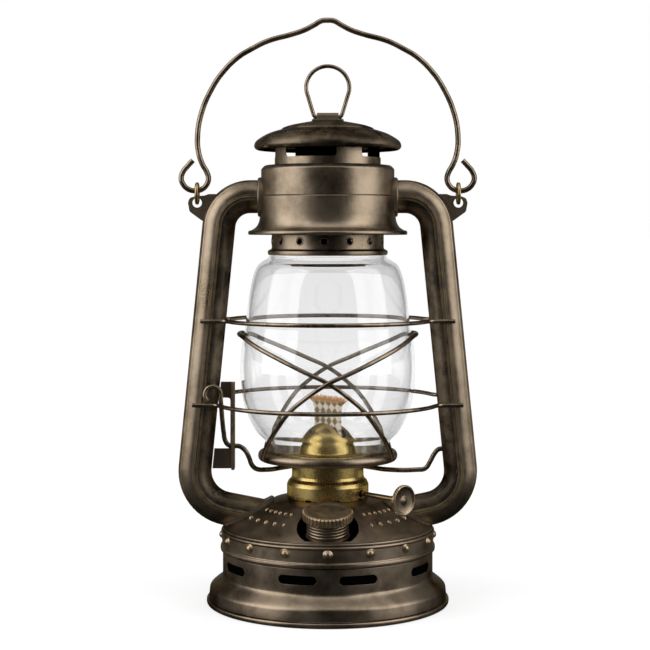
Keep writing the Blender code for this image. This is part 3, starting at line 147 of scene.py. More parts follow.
def curve(name, path, closed=False, curved=True):
    """A curve through points, either smooth or straight between them."""
    deselect()
    bpy.ops.curve.primitive_bezier_curve_add()
    bpy.ops.object.mode_set(mode="EDIT")
    bpy.ops.curve.delete(type="VERT")
    for point in path:
        bpy.ops.curve.vertex_add(location=Vector(point) * MM)
    bpy.ops.curve.select_all(action="SELECT")
    bpy.ops.curve.handle_type_set(type="AUTOMATIC" if curved else "VECTOR")
    if closed:
        bpy.ops.curve.cyclic_toggle()
    bpy.ops.object.mode_set(mode="OBJECT")
    line = bpy.context.object
    line.name = name
    line.data.resolution_u = 8 if curved else 1
    line.data.use_fill_caps = True
    return line


def wire(name, path, radius, closed=False, curved=True, section=None):
    """A round wire along a path, or a strip with a section of its own."""
    line = curve(name, path, closed, curved)
    if section:
        line.data.bevel_mode = "OBJECT"
        line.data.bevel_object = section
    else:
        line.data.bevel_depth = radius * MM
        line.data.bevel_resolution = 4
    pick(line)
    bpy.ops.object.convert(target="MESH")
    if section:
        bpy.data.objects.remove(section)
    bpy.ops.object.mode_set(mode="EDIT")
    weld()
    return settle(name)


def modify(piece, kind, **settings):
    """Gives a piece a modifier with its settings and applies it."""
    pick(piece)
    step = piece.modifiers.new(kind, kind)
    for name, value in settings.items():
        setattr(step, name, value)
    bpy.ops.object.modifier_apply(modifier=step.name)
    return piece


def cut(piece, tool, operation="DIFFERENCE"):
    """Cuts a piece with another, or joins or limits it, and throws the other away."""
    modify(piece, "BOOLEAN", operation=operation, object=tool, solver="EXACT")
    bpy.data.objects.remove(tool)
    return piece


def soften(piece, width, segments=2, angle=42):
    """Rounds the edges that are sharper than an angle, as tumbling and use do, and clears the slivers
    that this leaves at a cut."""
    modify(
        piece, "BEVEL", width=width * MM, segments=segments, limit_method="ANGLE",
        angle_limit=math.radians(angle), miter_outer="MITER_ARC",
    )
    bpy.ops.object.mode_set(mode="EDIT")
    bpy.ops.mesh.select_all(action="SELECT")
    bpy.ops.mesh.remove_doubles(threshold=WELD)
    bpy.ops.mesh.dissolve_degenerate(threshold=WELD / 2)
    bpy.ops.object.mode_set(mode="OBJECT")
    return piece


def shade(piece, angle=38):
    """Smooth shading below an angle, in which the large faces keep their own direction."""
    pick(piece)
    bpy.ops.object.shade_smooth_by_angle(angle=math.radians(angle))
    return modify(piece, "WEIGHTED_NORMAL", keep_sharp=True)


def join(name, pieces):
    """Makes one piece of several."""
    pick(pieces[0])
    for piece in pieces[1:]:
        piece.select_set(True)
    if len(pieces) > 1:
        bpy.ops.object.join()
    pieces[0].name = pieces[0].data.name = name
    return pieces[0]


def copies(name, piece, matrices):
    """Copies a piece that was modelled once to each place, as one object."""
    made = []
    for matrix in matrices:
        pick(piece)
        bpy.ops.object.duplicate()
        made.append(place(bpy.context.object, matrix))
    bpy.data.objects.remove(piece)
    return join(name, made)


def choose(piece, test):
    """Selects, in edit mode, the points whose place in millimetres passes a test."""
    pick(piece)
    bpy.ops.object.mode_set(mode="EDIT")
    bpy.ops.mesh.select_mode(type="VERT")
    bpy.ops.mesh.select_all(action="DESELECT")
    bpy.ops.object.mode_set(mode="OBJECT")
    for point in piece.data.vertices:
        point.select = test(point.co / MM)
    bpy.ops.object.mode_set(mode="EDIT")


def knurl(piece, radius, teeth, depth):
    """Presses grooves into the rim of a turned piece that has eight steps to each tooth."""

    def groove(point):
        reach = math.hypot(point.x, point.y)
        step = round(math.atan2(point.y, point.x) / math.tau * 8 * teeth) % 8
        return reach > radius - 0.12 and step in (0, 1, 2)

    choose(piece, groove)
    share = (radius - depth) / radius
    bpy.ops.transform.resize(value=(share, share, 1), center_override=(0, 0, 0))
    bpy.ops.object.mode_set(mode="OBJECT")
    return piece


# Outlines and paths


def offset(outline, distance):
    """A profile that runs down its outer side, moved inwards by a distance."""
    moved = []
    for i, point in enumerate(outline):
        normals = []
        for a, b in ((i - 1, i), (i, i + 1)):
            if a >= 0 and b < len(outline):
                run = Vector(outline[b]) - Vector(outline[a])
                if run.length > 1e-6:
                    normals.append(Vector((run.y, -run.x)).normalized())
        normal = sum(normals, Vector((0, 0))).normalized()
        spot = Vector(point) + normal * distance / max(normal.dot(normals[0]), 0.5)
        moved.append((max(spot.x, 0), spot.y))
    return moved


def sheet(outline, wall):
    """The closed section of sheet metal under an outline that runs down its outer side."""
    return [*outline, *offset(outline, wall)[::-1], outline[0]]


def rounded(points, radius, parts=4, closed=False):
    """A path whose corners are rounded, each by no more than its neighbours leave room for."""
    points = [Vector(p) for p in points]
    ring = [points[-1], *points, points[0]] if closed else points
    path = [] if closed else [points[0]]
    for before, corner, after in zip(ring, ring[1:], ring[2:]):
        first, second = before - corner, after - corner
        half = first.angle(second) / 2
        reach = min(radius / math.tan(half), 0.48 * first.length, 0.48 * second.length)
        start = corner + first.normalized() * reach
        end = corner + second.normalized() * reach
        for i in range(parts + 1):
            share = i / parts
            path.append(start.lerp(corner, share).lerp(corner.lerp(end, share), share))
    return path if closed else [*path, points[-1]]


def curved(points, parts=5):
    """A smooth path through points."""
    points = [Vector(p) for p in points]
    path = []
    for i in range(len(points) - 1):
        a, b = points[max(i - 1, 0)], points[i]
        c, d = points[i + 1], points[min(i + 2, len(points) - 1)]
        for k in range(parts):
            t = k / parts
            path.append(
                0.5 * (2 * b + (c - a) * t + (2 * a - 5 * b + 4 * c - d) * t**2
                       + (3 * b - a - 3 * c + d) * t**3)
            )
    return [*path, points[-1]]


def arc(centre, radius, start, end, parts):
    """Points on an arc, with its turns in degrees."""
    turns = [math.radians(start + (end - start) * i / parts) for i in range(parts + 1)]
    return [(centre[0] + radius * math.cos(t), centre[1] + radius * math.sin(t)) for t in turns]


def stadium(length, width, parts=8):
    """A slot's outline with round ends, its length along X."""
    reach = (length - width) / 2
    return arc((reach, 0), width / 2, -90, 90, parts) + arc((-reach, 0), width / 2, 90, 270, parts)


def rectangle(length, width):
    x, y = length / 2, width / 2
    return [(-x, -y), (x, -y), (x, y), (-x, y)]


def facing(degrees):
    """The level direction at an angle from the front, towards +X."""
    turn = math.radians(degrees)
    return Vector((math.sin(turn), -math.cos(turn), 0))


def along(spot, direction, side=UP):
    """The frame at a spot in millimetres whose Z axis points along a direction."""
    z = Vector(direction).normalized()
    x = Vector(side).cross(z)
    if x.length < 0.001:
        x = OUT.copy()
    x.normalize()
    axes = Matrix((x, z.cross(x), z)).transposed().to_4x4()
    return Matrix.Translation(Vector(spot) * MM) @ axes


def shift(x, y, z):
    return Matrix.Translation(Vector((x, y, z)) * MM)


def turn_up(degrees):
    return Matrix.Rotation(math.radians(degrees), 4, "Z")


# Finishes


def add(tree, kind, inputs=(), **settings):
    """Adds a node with its settings. An input takes a value, or a link as (node, output)."""
    made = tree.nodes.new("ShaderNode" + kind)
    for name, value in settings.items():
        setattr(made, name, value)
    for name, value in dict(inputs).items():
        if isinstance(value, tuple) and isinstance(value[0], bpy.types.Node):
            tree.links.new(value[0].outputs[value[1]], made.inputs[name])
        else:
            made.inputs[name].default_value = value
    return made


def start(name):
    """A new material with a shader and its tree."""
    material = bpy.data.materials.new(name)
    material.use_nodes = True
    tree = material.node_tree
    return material, tree, tree.nodes["Principled BSDF"]


def link(tree, source, output, shader, socket):
    tree.links.new(source.outputs[output], shader.inputs[socket])


def spread(tree, source, low, high, to_low=0.0, to_high=1.0, output="Fac"):
    """Stretches a pattern's values from low..high to a new range."""
    return add(
        tree, "MapRange",
        {"Value": (source, output), "From Min": low, "From Max": high, "To Min": to_low,
         "To Max": to_high},
        interpolation_type="SMOOTHSTEP",
    )


def blend(tree, mask, first, second):
    """Mixes two colours by a mask. Each is a hex code or a link."""
    colours = [linear(c) if isinstance(c, str) else c for c in (first, second)]
    return add(tree, "Mix", {0: mask, 6: colours[0], 7: colours[1]}, data_type="RGBA")


def patinated(name, tones, mottle, grain, roughness, wear, grit=0.05, edges=1.0, metal=1.0):
    """Metal whose dark patina is mottled, rubbed thin in specks and bright along its edges, where wear bares it
    and where the brightness is also a painted highlight on rolled edges and seams.

    The tones run from the darkest patina to bare metal. Mottle and grain are the sizes in millimetres
    of the cloudy patches and of the specks, wear says how much is rubbed through, and edges says how
    bare the sharp edges are. Grit is the depth of the surface's grain in millimetres. Metal is below 1 where an
    oxide crust covers the metal and scatters some light.
    """
    material, tree, shader = start(name)
    place_on = add(tree, "TexCoord")
    field = add(tree, "Mapping", {"Vector": (place_on, "Object"), "Rotation": (0.5, 0.3, 0.2)})
    cloud = add(
        tree, "TexNoise",
        {"Vector": (field, "Vector"), "Scale": 1 / (mottle * MM), "Detail": 5.0, "Roughness": 0.62},
    )
    speck = add(
        tree, "TexNoise",
        {"Vector": (field, "Vector"), "Scale": 1 / (grain * MM), "Detail": 3.0, "Roughness": 0.7},
    )
    patch = add(
        tree, "TexNoise",
        {"Vector": (field, "Vector"), "Scale": 0.55 / (mottle * MM), "Detail": 2.0, "Distortion": 0.6},
    )
    body = blend(tree, (spread(tree, cloud, 0.32, 0.66), "Result"), tones[0], tones[1])
    thin = add(
        tree, "Math",
        {0: (spread(tree, speck, 0.50, 0.66), "Result"),
         1: (spread(tree, patch, 0.46, 0.68), "Result")},
        operation="MULTIPLY",
    )
    thin = add(tree, "Math", {0: (thin, "Value"), 1: wear}, operation="MULTIPLY")
    rubbed = blend(tree, (thin, "Value"), (body, 2), tones[2])
    # Sharp edges, found by pointiness, are painted bare metal: wear, and also a painted highlight along rolled
    # edges and seam steps.
    shape = add(tree, "NewGeometry")
    edge = spread(tree, shape, 0.515, 0.60, output="Pointiness")
    bare_edge_and_highlight = add(
        tree, "Math",
        {0: (edge, "Result"), 1: (spread(tree, speck, 0.34, 0.58, 0.35 * edges, edges), "Result")},
        operation="MULTIPLY",
    )
    bare = blend(tree, (bare_edge_and_highlight, "Value"), (rubbed, 2), tones[3])
    link(tree, bare, 2, shader, "Base Color")
    rough = add(
        tree, "Math",
        {0: (spread(tree, cloud, 0.3, 0.7, roughness - 0.04, roughness + 0.05), "Result"),
         1: (spread(tree, speck, 0.3, 0.7, -0.04, 0.06), "Result")},
    )
    link(tree, rough, "Value", shader, "Roughness")
    height = add(
        tree, "Math",
        {0: (speck, "Fac"), 1: (spread(tree, cloud, 0.2, 0.8, 0.0, 3.0), "Result")},
    )
    bump = add(tree, "Bump", {"Strength": 0.35, "Distance": grit * MM, "Height": (height, "Value")})
    link(tree, bump, "Normal", shader, "Normal")
    shader.inputs["Metallic"].default_value = metal
    shader.inputs["Specular Tint"].default_value = linear("#74787A")
    return material


def bronze_sheet(colours):
    """Sheet steel with an antique bronze patina, brushed back by hand: dark, warm and satin, cloudy over
    a few centimetres, with pinhead specks of paler metal."""
    return patinated(
        "antique_bronze_sheet", (colours.patina, colours.bronze, colours.rubbed, colours.bare),
        mottle=19, grain=0.75, roughness=0.33, wear=0.55, edges=0.0,
    )


def bronze_turned(colours):
    """The same bronze on spun and rolled pieces, whose edges are rubbed bare and painted bright, partly as
    their highlight.
    """
    return patinated(
        "antique_bronze_spun", (colours.patina, colours.bronze, colours.rubbed, colours.bare),
        mottle=19, grain=0.75, roughness=0.33, wear=0.55,
    )


def bronze_plate(colours):
    """The same bronze on small flat stampings, which keep their patina at the edges."""
    return patinated(
        "antique_bronze_plate", (colours.patina, colours.patina, colours.bronze, colours.rubbed),
        mottle=8, grain=0.75, roughness=0.36, wear=0.5, edges=0.0, metal=0.72,
    )


def dulled_and_shaded_bronze(colours):
    """The same bronze with a dark, dull patina: over the whole canopy, which heat darkens, and as painted shade
    on the side of each side tube that faces the lantern's middle.
    """
    return patinated(
        "dulled_and_shaded_bronze", ("#3A332B", colours.patina, colours.bronze, colours.bare),
        mottle=14, grain=0.75, roughness=0.40, wear=0.45, edges=0.6,
    )


def rubbed_and_highlighted_bronze(colours):
    """The same bronze where hands and cloths rub it most, on rivets, embossed beads and the filler cap; on the
    side tubes' seam ridges and the lever bracket's flange it is a painted highlight, partly wear.
    """
    return patinated(
        "rubbed_and_highlighted_bronze", (colours.bronze, colours.rubbed, colours.bare, colours.bare),
        mottle=5, grain=0.75, roughness=0.40, wear=0.6, grit=0.02, edges=0.0,
    )


def bronze_wire(colours):
    """Drawn steel wire with the same patina, a little glossier and more even from the drawing."""
    return patinated(
        "antique_bronze_wire", (colours.patina, colours.bronze, colours.rubbed, colours.bare),
        mottle=9, grain=0.8, roughness=0.28, wear=0.5, grit=0.03, edges=0.0,
    )


def soot_and_shade_sheet(colours):
    """The same sheet, near black and dull, with almost no sheen: soot where hot gas has blackened it, and
    painted shade inside the base skirt, in the filler pocket and on the tank pan.
    """
    return patinated(
        "sooted_and_shaded_sheet", ("#080706", "#0D0B0A", "#161310", "#161310"),
        mottle=12, grain=0.9, roughness=0.7, wear=0.3, edges=0.0,
    )


def tarnished_brass(colours):
    """Spun brass sheet, once polished and now toned: yellow and satin, browned in faint clouds."""
    return patinated(
        "tarnished_brass", (colours.tarnish, colours.brass, colours.brass, colours.polished),
        mottle=16, grain=0.9, roughness=0.29, wear=0.3, grit=0.004, edges=0.6,
    )


def handled_brass(colours):
    """Brass darkened by hands, browner than the burner's."""
    return patinated(
        "handled_brass", (colours.bronze, colours.tarnish, colours.rubbed, colours.brass),
        mottle=6, grain=0.8, roughness=0.30, wear=0.8, grit=0.03, edges=0.0,
    )


def blown_glass(colours):
    """Clear soda-lime glass, blown in a mould: colourless, greying towards its outline where the eye
    looks along the wall, with a slow ripple."""
    material, tree, shader = start("blown_glass")
    slant = add(tree, "LayerWeight", {"Blend": 0.35})
    along_wall = spread(tree, slant, 0.35, 1.0, output="Facing")
    tint = blend(tree, (along_wall, "Result"), "#F8F8F8", colours.glass)
    link(tree, tint, 2, shader, "Base Color")
    place_on = add(tree, "TexCoord")
    ripple = add(
        tree, "TexNoise", {"Vector": (place_on, "Object"), "Scale": 1 / (30 * MM), "Detail": 1.0}
    )
    bump = add(tree, "Bump", {"Strength": 0.12, "Distance": 0.4 * MM, "Height": (ripple, "Fac")})
    link(tree, bump, "Normal", shader, "Normal")
    for socket, value in (
        ("Roughness", 0.0), ("IOR", 1.5), ("Transmission Weight", 1.0), ("Specular IOR Level", 0.5),
    ):
        shader.inputs[socket].default_value = value
    return material


def cotton_wick(colours):
    """Flat braided cotton, whose two sets of strands cross in upright diamonds, singed at its end.
    The diamonds are 2.2 mm wide, coarser than real ones, so that they show from a step away."""
    material, tree, shader = start("braided_cotton")
    place_on = add(tree, "TexCoord")
    flat = add(
        tree, "Mapping", {"Vector": (place_on, "Object"), "Rotation": (0, 0, math.radians(47))}
    )
    axes = add(tree, "SeparateXYZ", {0: (flat, "Vector")})
    strands = []
    for slope in (1.05, -1.05):
        lean = add(tree, "Math", {0: (axes, "X"), 1: slope, 2: (axes, "Z")}, operation="MULTIPLY_ADD")
        wave = add(tree, "Math", {0: (lean, "Value"), 1: math.tau / (9.0 * MM)}, operation="MULTIPLY")
        strands.append((add(tree, "Math", {0: (wave, "Value")}, operation="SINE"), "Value"))
    weave = add(tree, "Math", dict(enumerate(strands)), operation="MULTIPLY")
    fuzz = add(
        tree, "TexNoise", {"Vector": (place_on, "Object"), "Scale": 1 / (0.7 * MM), "Detail": 3.0}
    )
    raised = spread(tree, weave, -0.4, 0.3, output="Value")
    thread = blend(tree, (raised, "Result"), colours.wick_shade, colours.wick)
    height = add(tree, "SeparateXYZ", {0: (place_on, "Object")})
    ragged = add(
        tree, "Math", {0: (fuzz, "Fac"), 1: 1.6 * MM, 2: (height, "Z")}, operation="MULTIPLY_ADD"
    )
    singe = spread(tree, ragged, 0.0990, 0.1012, output="Value")
    colour = blend(tree, (singe, "Result"), (thread, 2), colours.singe)
    link(tree, colour, 2, shader, "Base Color")
    relief = add(
        tree, "Math", {0: (weave, "Value"), 1: 0.6, 2: (fuzz, "Fac")}, operation="MULTIPLY_ADD"
    )
    bump = add(tree, "Bump", {"Strength": 0.6, "Distance": 0.2 * MM, "Height": (relief, "Value")})
    link(tree, bump, "Normal", shader, "Normal")
    shader.inputs["Roughness"].default_value = 0.95
    shader.inputs["Sheen Weight"].default_value = 0.25
    return material


def gasket_rubber(colours):
    """Moulded nitrile rubber: near black and dull, with a fine bloom."""
    material, tree, shader = start("nitrile_rubber")
    place_on = add(tree, "TexCoord")
    bloom = add(
        tree, "TexNoise", {"Vector": (place_on, "Object"), "Scale": 1 / (2 * MM), "Detail": 4.0}
    )
    colour = blend(tree, (spread(tree, bloom, 0.4, 0.7), "Result"), "#151515", "#242322")
    link(tree, colour, 2, shader, "Base Color")
    shader.inputs["Roughness"].default_value = 0.7
    return material


def finish(name, context):
    """The finish of one name, made the first time it is asked for."""
    made = FINISHES.get(name)
    if made is None:
        makers = {
            "sheet": bronze_sheet, "turned": bronze_turned, "plate": bronze_plate,
            "dull": dulled_and_shaded_bronze, "worn_and_highlight": rubbed_and_highlighted_bronze, "wire": bronze_wire, "soot_and_shade": soot_and_shade_sheet,
            "brass": tarnished_brass, "handled": handled_brass, "glass": blown_glass,
            "wick": cotton_wick, "rubber": gasket_rubber,
        }
        made = FINISHES[name] = makers[name](context.scene.lantern_colours)
    return made


FINISHES = {}
SLOTS = {
    **dict.fromkeys(("sheet", "turned", "plate", "dull", "worn_and_highlight", "soot_and_shade"), "bronze"),
    "wire": "bronze_wire", "brass": "brass", "handled": "brass", "glass": "glass", "wick": "cotton",
    "rubber": "rubber",
}


def fit(context, piece, body, look, *nodes):
    """Gives a piece its finish and its body, and hides the CAD nodes that it stands for."""
    piece.data.materials.clear()
    piece.data.materials.append(finish(look, context))
    for face in piece.data.polygons:
        face.material_index = 0
    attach(piece, body)
    if nodes:
        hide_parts(*nodes)
    return piece


def faces_axis(point, normal):
    """Whether a face is on the inner side of a piece turned about the Z axis."""
    return normal.x * point.x + normal.y * point.y < -0.3 * math.hypot(point.x, point.y)


def refinish(context, piece, test, look="soot_and_shade"):
    """A second finish on the faces whose place and normal pass a test: soot and painted shade unless another
    finish is named.
    """
    piece.data.materials.append(finish(look, context))
    for face in piece.data.polygons:
        if test(face.center / MM, face.normal):
            face.material_index = len(piece.data.materials) - 1


# Sizes and colours that a user may change


def size(name, text, default):
    return bpy.props.FloatProperty(
        name=name, description=text, default=default * MM, min=0.0, unit="LENGTH", subtype="DISTANCE",
        precision=5,
    )


def colour(name, text, default):
    return bpy.props.FloatVectorProperty(
        name=name, description=text, default=linear(default), size=4, min=0.0, max=1.0, subtype="COLOR"
    )


class LanternSizes(bpy.types.PropertyGroup):
    sheet: size("Sheet", "Thickness of the sheet metal", 0.8)
    glass: size("Glass", "Wall of the globe", 1.6)
    cage_wire: size("Cage wire", "Radius of the wires bent round the globe", 1.1)
    guard_wire: size("Guard wire", "Radius of the four level guard wires", 1.05)
    lever_wire: size("Lever wire", "Radius of the lift lever", 1.2)
    bail_wire: size("Bail wire", "Radius of the carrying wire", 1.35)
    ring_wire: size("Ring wire", "Radius of the finger ring's wire", 1.0)
    link_wire: size("Link wire", "Radius of the link rings' wire", 1.0)
    rivet: size("Rivet", "Radius of a rivet's head", 2.2)
    knurl: size("Knurl", "Depth of the grooves on the cap and the knob", 0.5)
    seam: size("Tube seam", "Step where one half of a side tube laps the other", 0.55)


class LanternColours(bpy.types.PropertyGroup):
    patina: colour("Patina", "Darkest patina on the bronze", "#746756")
    bronze: colour("Bronze", "Main tone of the bronze", "#A59480")
    rubbed: colour("Rubbed", "Where the patina is rubbed thin", "#C9AF88")
    bare: colour("Bare edge", "Bare metal along the edges", "#E0C392")
    tarnish: colour("Tarnish", "Browned brass", "#BDA262")
    brass: colour("Brass", "Main tone of the brass", "#D0B776")
    polished: colour("Polished", "Brass along its edges", "#E8D49C")
    glass: colour("Glass edge", "Glass where the eye looks along its wall", "#DCDFE0")
    wick: colour("Wick", "Raised strands of the cotton", "#F4EAD4")
    wick_shade: colour("Wick shade", "Between the strands of the cotton", "#8A7350")
    singe: colour("Singe", "Scorched end of the cotton", "#DCA96A")
    floor: colour("Floor", "The floor that the lantern stands on", "#A8A8A8")


def sizes(context):
    """The sizes that a user may change, in millimetres."""
    group = context.scene.lantern_sizes
    return {name: getattr(group, name) / MM for name in LanternSizes.__annotations__}


# Shapes that several pieces share

TUBE_RADIUS = 8.75
TUBE_SHELL = 8.55
TUBE_TOP = 201.4
TUBE_FOOT = 49.4
TUBE_SHOULDER = 52.75
TUBE_SPREAD = 68.0
EAR_REACH = 65.3
EAR_HEIGHT = 198.6
LINK_RADIUS = 4.65
BAIL_FOOT = 204.7
BAIL_RISE = 85.15
PLATE_TOP = 72.7
GLOBE_RADIUS = 43.8
GLOBE_HEIGHT = 99.5
CAGE_RADIUS = 46.1
CAGE_HEIGHT = 60.5
CONE_RADIUS = 13.7
CONE_FOOT = 75.3
DOME = [(0, 51.8), (24, 51.8), (27.5, 50.6), (51.3, 37.9), (52.3, 37.7), (52.3, 36.9)]
FILLER = Matrix.Translation(Vector((0, -38.5, 39.5)) * MM) @ Matrix.Rotation(math.radians(12), 4, "X")
WICK_ALONG = Vector((math.sin(math.radians(43)), -math.cos(math.radians(43)), 0))
WICK_ACROSS = Vector((math.cos(math.radians(43)), math.sin(math.radians(43)), 0))
WICK_FRAME = Matrix((WICK_ALONG, WICK_ACROSS, UP)).transposed().to_4x4()
SHAFT = along(WICK_ACROSS * 4 + UP * 55.2, WICK_ALONG)
CANOPY = [
    (36.8 * r, 224.8 + 14.3 * z)
    for r, z in (
        (0.00, 1.000), (0.26, 1.000), (0.50, 0.880), (0.610, 0.785), (0.630, 0.730), (0.79, 0.600),
        (0.90, 0.455), (0.975, 0.310), (1.00, 0.160), (0.985, 0.055), (0.955, 0.010),
    )
]


def dome_height(radius):
    """The height of the tank's cone at a radius."""
    return 50.6 + (37.9 - 50.6) * (radius - 27.5) / (51.3 - 27.5)


def tube_reach(height):
    """How far from the axis a side tube's middle line lies at a height."""
    return TUBE_SHOULDER + (TUBE_SPREAD - TUBE_SHOULDER) * (TUBE_TOP - height) / (TUBE_TOP - TUBE_FOOT)


def tube_path(side, begin=32.4):
    """The middle line of a side tube, from the air chamber round its two elbows to the tank."""
    foot = math.tan(math.radians(11)) * 42
    points = [
        (side * begin, 0, TUBE_TOP), (side * TUBE_SHOULDER, 0, TUBE_TOP),
        (side * (TUBE_SPREAD - 0.3), 0, TUBE_FOOT), (side * (TUBE_SPREAD - 42), 0, TUBE_FOOT - foot),
    ]
    path = [Vector(points[0])]
    for before, corner, after, bend in zip(points, points[1:], points[2:], (15.5, 19.0)):
        before, corner, after = Vector(before), Vector(corner), Vector(after)
        first, second = (before - corner).normalized(), (after - corner).normalized()
        half = first.angle(second) / 2
        centre = corner + (first + second).normalized() * bend / math.sin(half)
        start_at = (corner + first * bend / math.tan(half) - centre).normalized()
        end_at = (corner + second * bend / math.tan(half) - centre).normalized()
        path += [centre + start_at.slerp(end_at, i / 14) * bend for i in range(15)]
    return [*path, Vector(points[-1])]


# Base and tank


class LANTERN_OT_base(bpy.types.Operator):
    """Rolled hem and slotted skirt that the lantern stands on"""

    bl_idname = "lantern.base"
    bl_label = "Base"

    def execute(self, context):
        wall = sizes(context)["sheet"]
        section = [(58.6, 2.5), (60.3, 2.5), (60.3, 0), (57.3, 0), (57.3, 2.5)]
        section = rounded(section, 1.2, closed=True)
        hem = lathe("rolled_hem", [*section, section[0]], 160)
        fit(context, shade(hem, 60), "frame", "turned", "base_ring")

        flare = []
        for i in range(17):
            share = i / 16
            ease = share * share * (3 - 2 * share)
            flare.append((52.3 + 6.4 * ease, 14.5 - 7.0 * share))
        outline = [(52.3, 26), (52.3, 20), (52.3, 15.6), *flare, (58.95, 5.2), (59.1, 2.8)]
        skirt = lathe("slotted_skirt", sheet(outline, wall), 160)
        slot = plate("slots", stadium(18.6, 4.2), 46, 56)
        angles = (16.2, 60.5, 119.5, 163.8, 196.2, 240.5, 299.5, 343.8)
        slots = copies("slots", slot, [along((0, 0, 20.6), facing(a)) for a in angles])
        cut(skirt, slots)
        soften(skirt, 0.22, 2, 60)
        fit(context, shade(skirt), "frame", "sheet", "base_skirt")
        # The inside of the skirt is painted near black: painted shade under the tank, where no flame burns.
        refinish(context, skirt, faces_axis)
        return {"FINISHED"}


class LANTERN_OT_tank(bpy.types.Operator):
    """Tank band with its beads and rivets, and the dome with its filler pocket and bosses"""

    bl_idname = "lantern.tank"
    bl_label = "Tank"

    def execute(self, context):
        self.band(context)
        self.dome(context)
        return {"FINISHED"}

    def band(self, context):
        section = rounded(
            [(51.6, 36.6), (52.5, 36.6), (53.1, 36.3), (53.2, 35.5), (52.7, 34.9), (52.7, 28.9),
             (53.4, 28.5), (53.5, 27.5), (53.4, 26.5), (52.9, 26.3), (51.6, 26.3)],
            0.6, 4, closed=True,
        )
        hoop = lathe("tank_hoop", [*section, section[0]], 160)
        radius = sizes(context)["rivet"]
        head = arc((0, -0.25), radius * 0.84, 90, 14, 7)
        head = [(0, radius * 0.70)] + [(r, (z + 0.25) * 0.83) for r, z in head[1:]]
        head += [(radius, 0.22), (radius + 0.2, 0.0), (radius, -0.5), (0, -0.5)]
        head = lathe("rivet", head, 20)
        rivets = copies(
            "rivets", head,
            [along(facing(22.5 * i) * 52.72 + UP * 33, facing(22.5 * i)) for i in range(16)],
        )
        fit(context, shade(hoop, 50), "frame", "turned", "tank_band")
        fit(context, shade(rivets, 50), "frame", "worn_and_highlight")

    def dome(self, context):
        outline = [DOME[0], (12, 51.8), (22, 51.8), *rounded(DOME[1:], 1.6, 5)[2:]]
        dome = lathe("embossed_dome", [*outline, (0, 36.9)], 160)
        pocket = place(lathe("pocket", [(0, 30), (14.8, 30), (14.8, 0), (0, 0)], 64), FILLER)
        cut(pocket, lathe("limit", [(0, 56), (49.9, 56), (49.9, 34), (0, 34)], 96), "INTERSECT")
        bore = place(lathe("bore", [(0, 4), (8.8, 4), (8.8, -6), (0, -6)], 48), FILLER)
        seat = lathe("seat", [(0, 56), (16.5, 56), (16.5, 34), (0, 34)], 64)
        for tool in (pocket, bore, seat):
            cut(dome, tool)
        soften(dome, 0.3, 2, 50)
        shade(dome, 35)
        drop = [(0, 0.95), (0.35, 0.9), (0.62, 0.72), (0.82, 0.42), (0.95, 0.1), (1.1, -0.3), (0, -0.3)]
        drop = lathe("drop", drop, 14)
        spots = []
        lean = math.atan2(50.6 - 37.9, 51.3 - 27.5)
        for radius, angles in ((40.3, (31, 39, 47.5, 57, 68)), (33.0, (32, 38, 44, 50, 56.5, 64))):
            for angle in angles:
                for side in (-1, 1):
                    out = facing(side * angle)
                    normal = out * math.sin(lean) + UP * math.cos(lean)
                    spot = along(out * radius + UP * dome_height(radius), normal, out)
                    small = 0.85 if radius < 36 else 1.0
                    spots.append(spot @ Matrix.Diagonal((small * 0.95, small * 1.5, small, 1)))
        fit(context, shade(copies("embossed_beads", drop, spots), 80), "frame", "worn_and_highlight")
        fit(context, dome, "frame", "sheet", "tank_dome")
        pocket_axis = FILLER.to_3x3() @ UP
        seat = FILLER.translation / MM

        def in_pocket(point, normal):
            reach = point - seat
            along_axis = reach.dot(pocket_axis)
            return (reach - pocket_axis * along_axis).length < 15.2 and point.z < 52 and (
                abs(normal.dot(pocket_axis)) > 0.95 or normal.dot(reach - pocket_axis * along_axis) < 0
            ) and along_axis < 14 and (along_axis < 0.6 or normal.dot(pocket_axis) < 0.5)

        # The filler pocket round the neck is painted near black, a painted shade in the recess.
        refinish(context, dome, in_pocket)


class LANTERN_OT_filler(bpy.types.Operator):
    """Threaded filler neck and the knurled cap that screws down on it"""

    bl_idname = "lantern.filler"
    bl_label = "Filler"

    def execute(self, context):
        neck = lathe(
            "threaded_neck",
            [(9.5, 9.9), (9.6, 9.6), (9.6, 0.5), (10.6, 0.3), (8.8, 0.3), (8.8, 9.9), (9.5, 9.9)], 64,
        )
        turns = 5.6
        helix = []
        for i in range(int(turns * 20) + 1):
            turn = math.tau * i / 20
            helix.append((9.55 * math.cos(turn), 9.55 * math.sin(turn), 1.0 + 1.5 * i / 20))
        thread = wire("thread", helix, 0.55)
        neck = place(join("threaded_neck", [shade(neck), shade(thread, 60)]), FILLER)
        fit(context, neck, "frame", "sheet", "filler_neck")

        rim = 12.1
        outline = [
            (0, 12.25), (4.2, 12.25), (5.0, 12.05), (8.2, 11.95), (8.9, 12.0), (9.7, 12.45),
            (10.6, 12.6), (11.4, 12.5), (rim, 11.9), (rim, 11.2), (rim, 9.4), (rim, 8.9), (11.7, 8.5),
            (10.5, 8.5), (10.5, 11.2), (0, 11.2),
        ]
        cap = knurl(lathe("knurled_cap", outline, 8 * 40), rim, 40, sizes(context)["knurl"])
        fit(context, shade(place(cap, FILLER), 42), "filler_cap", "worn_and_highlight", "filler_cap")
        return {"FINISHED"}


# Burner


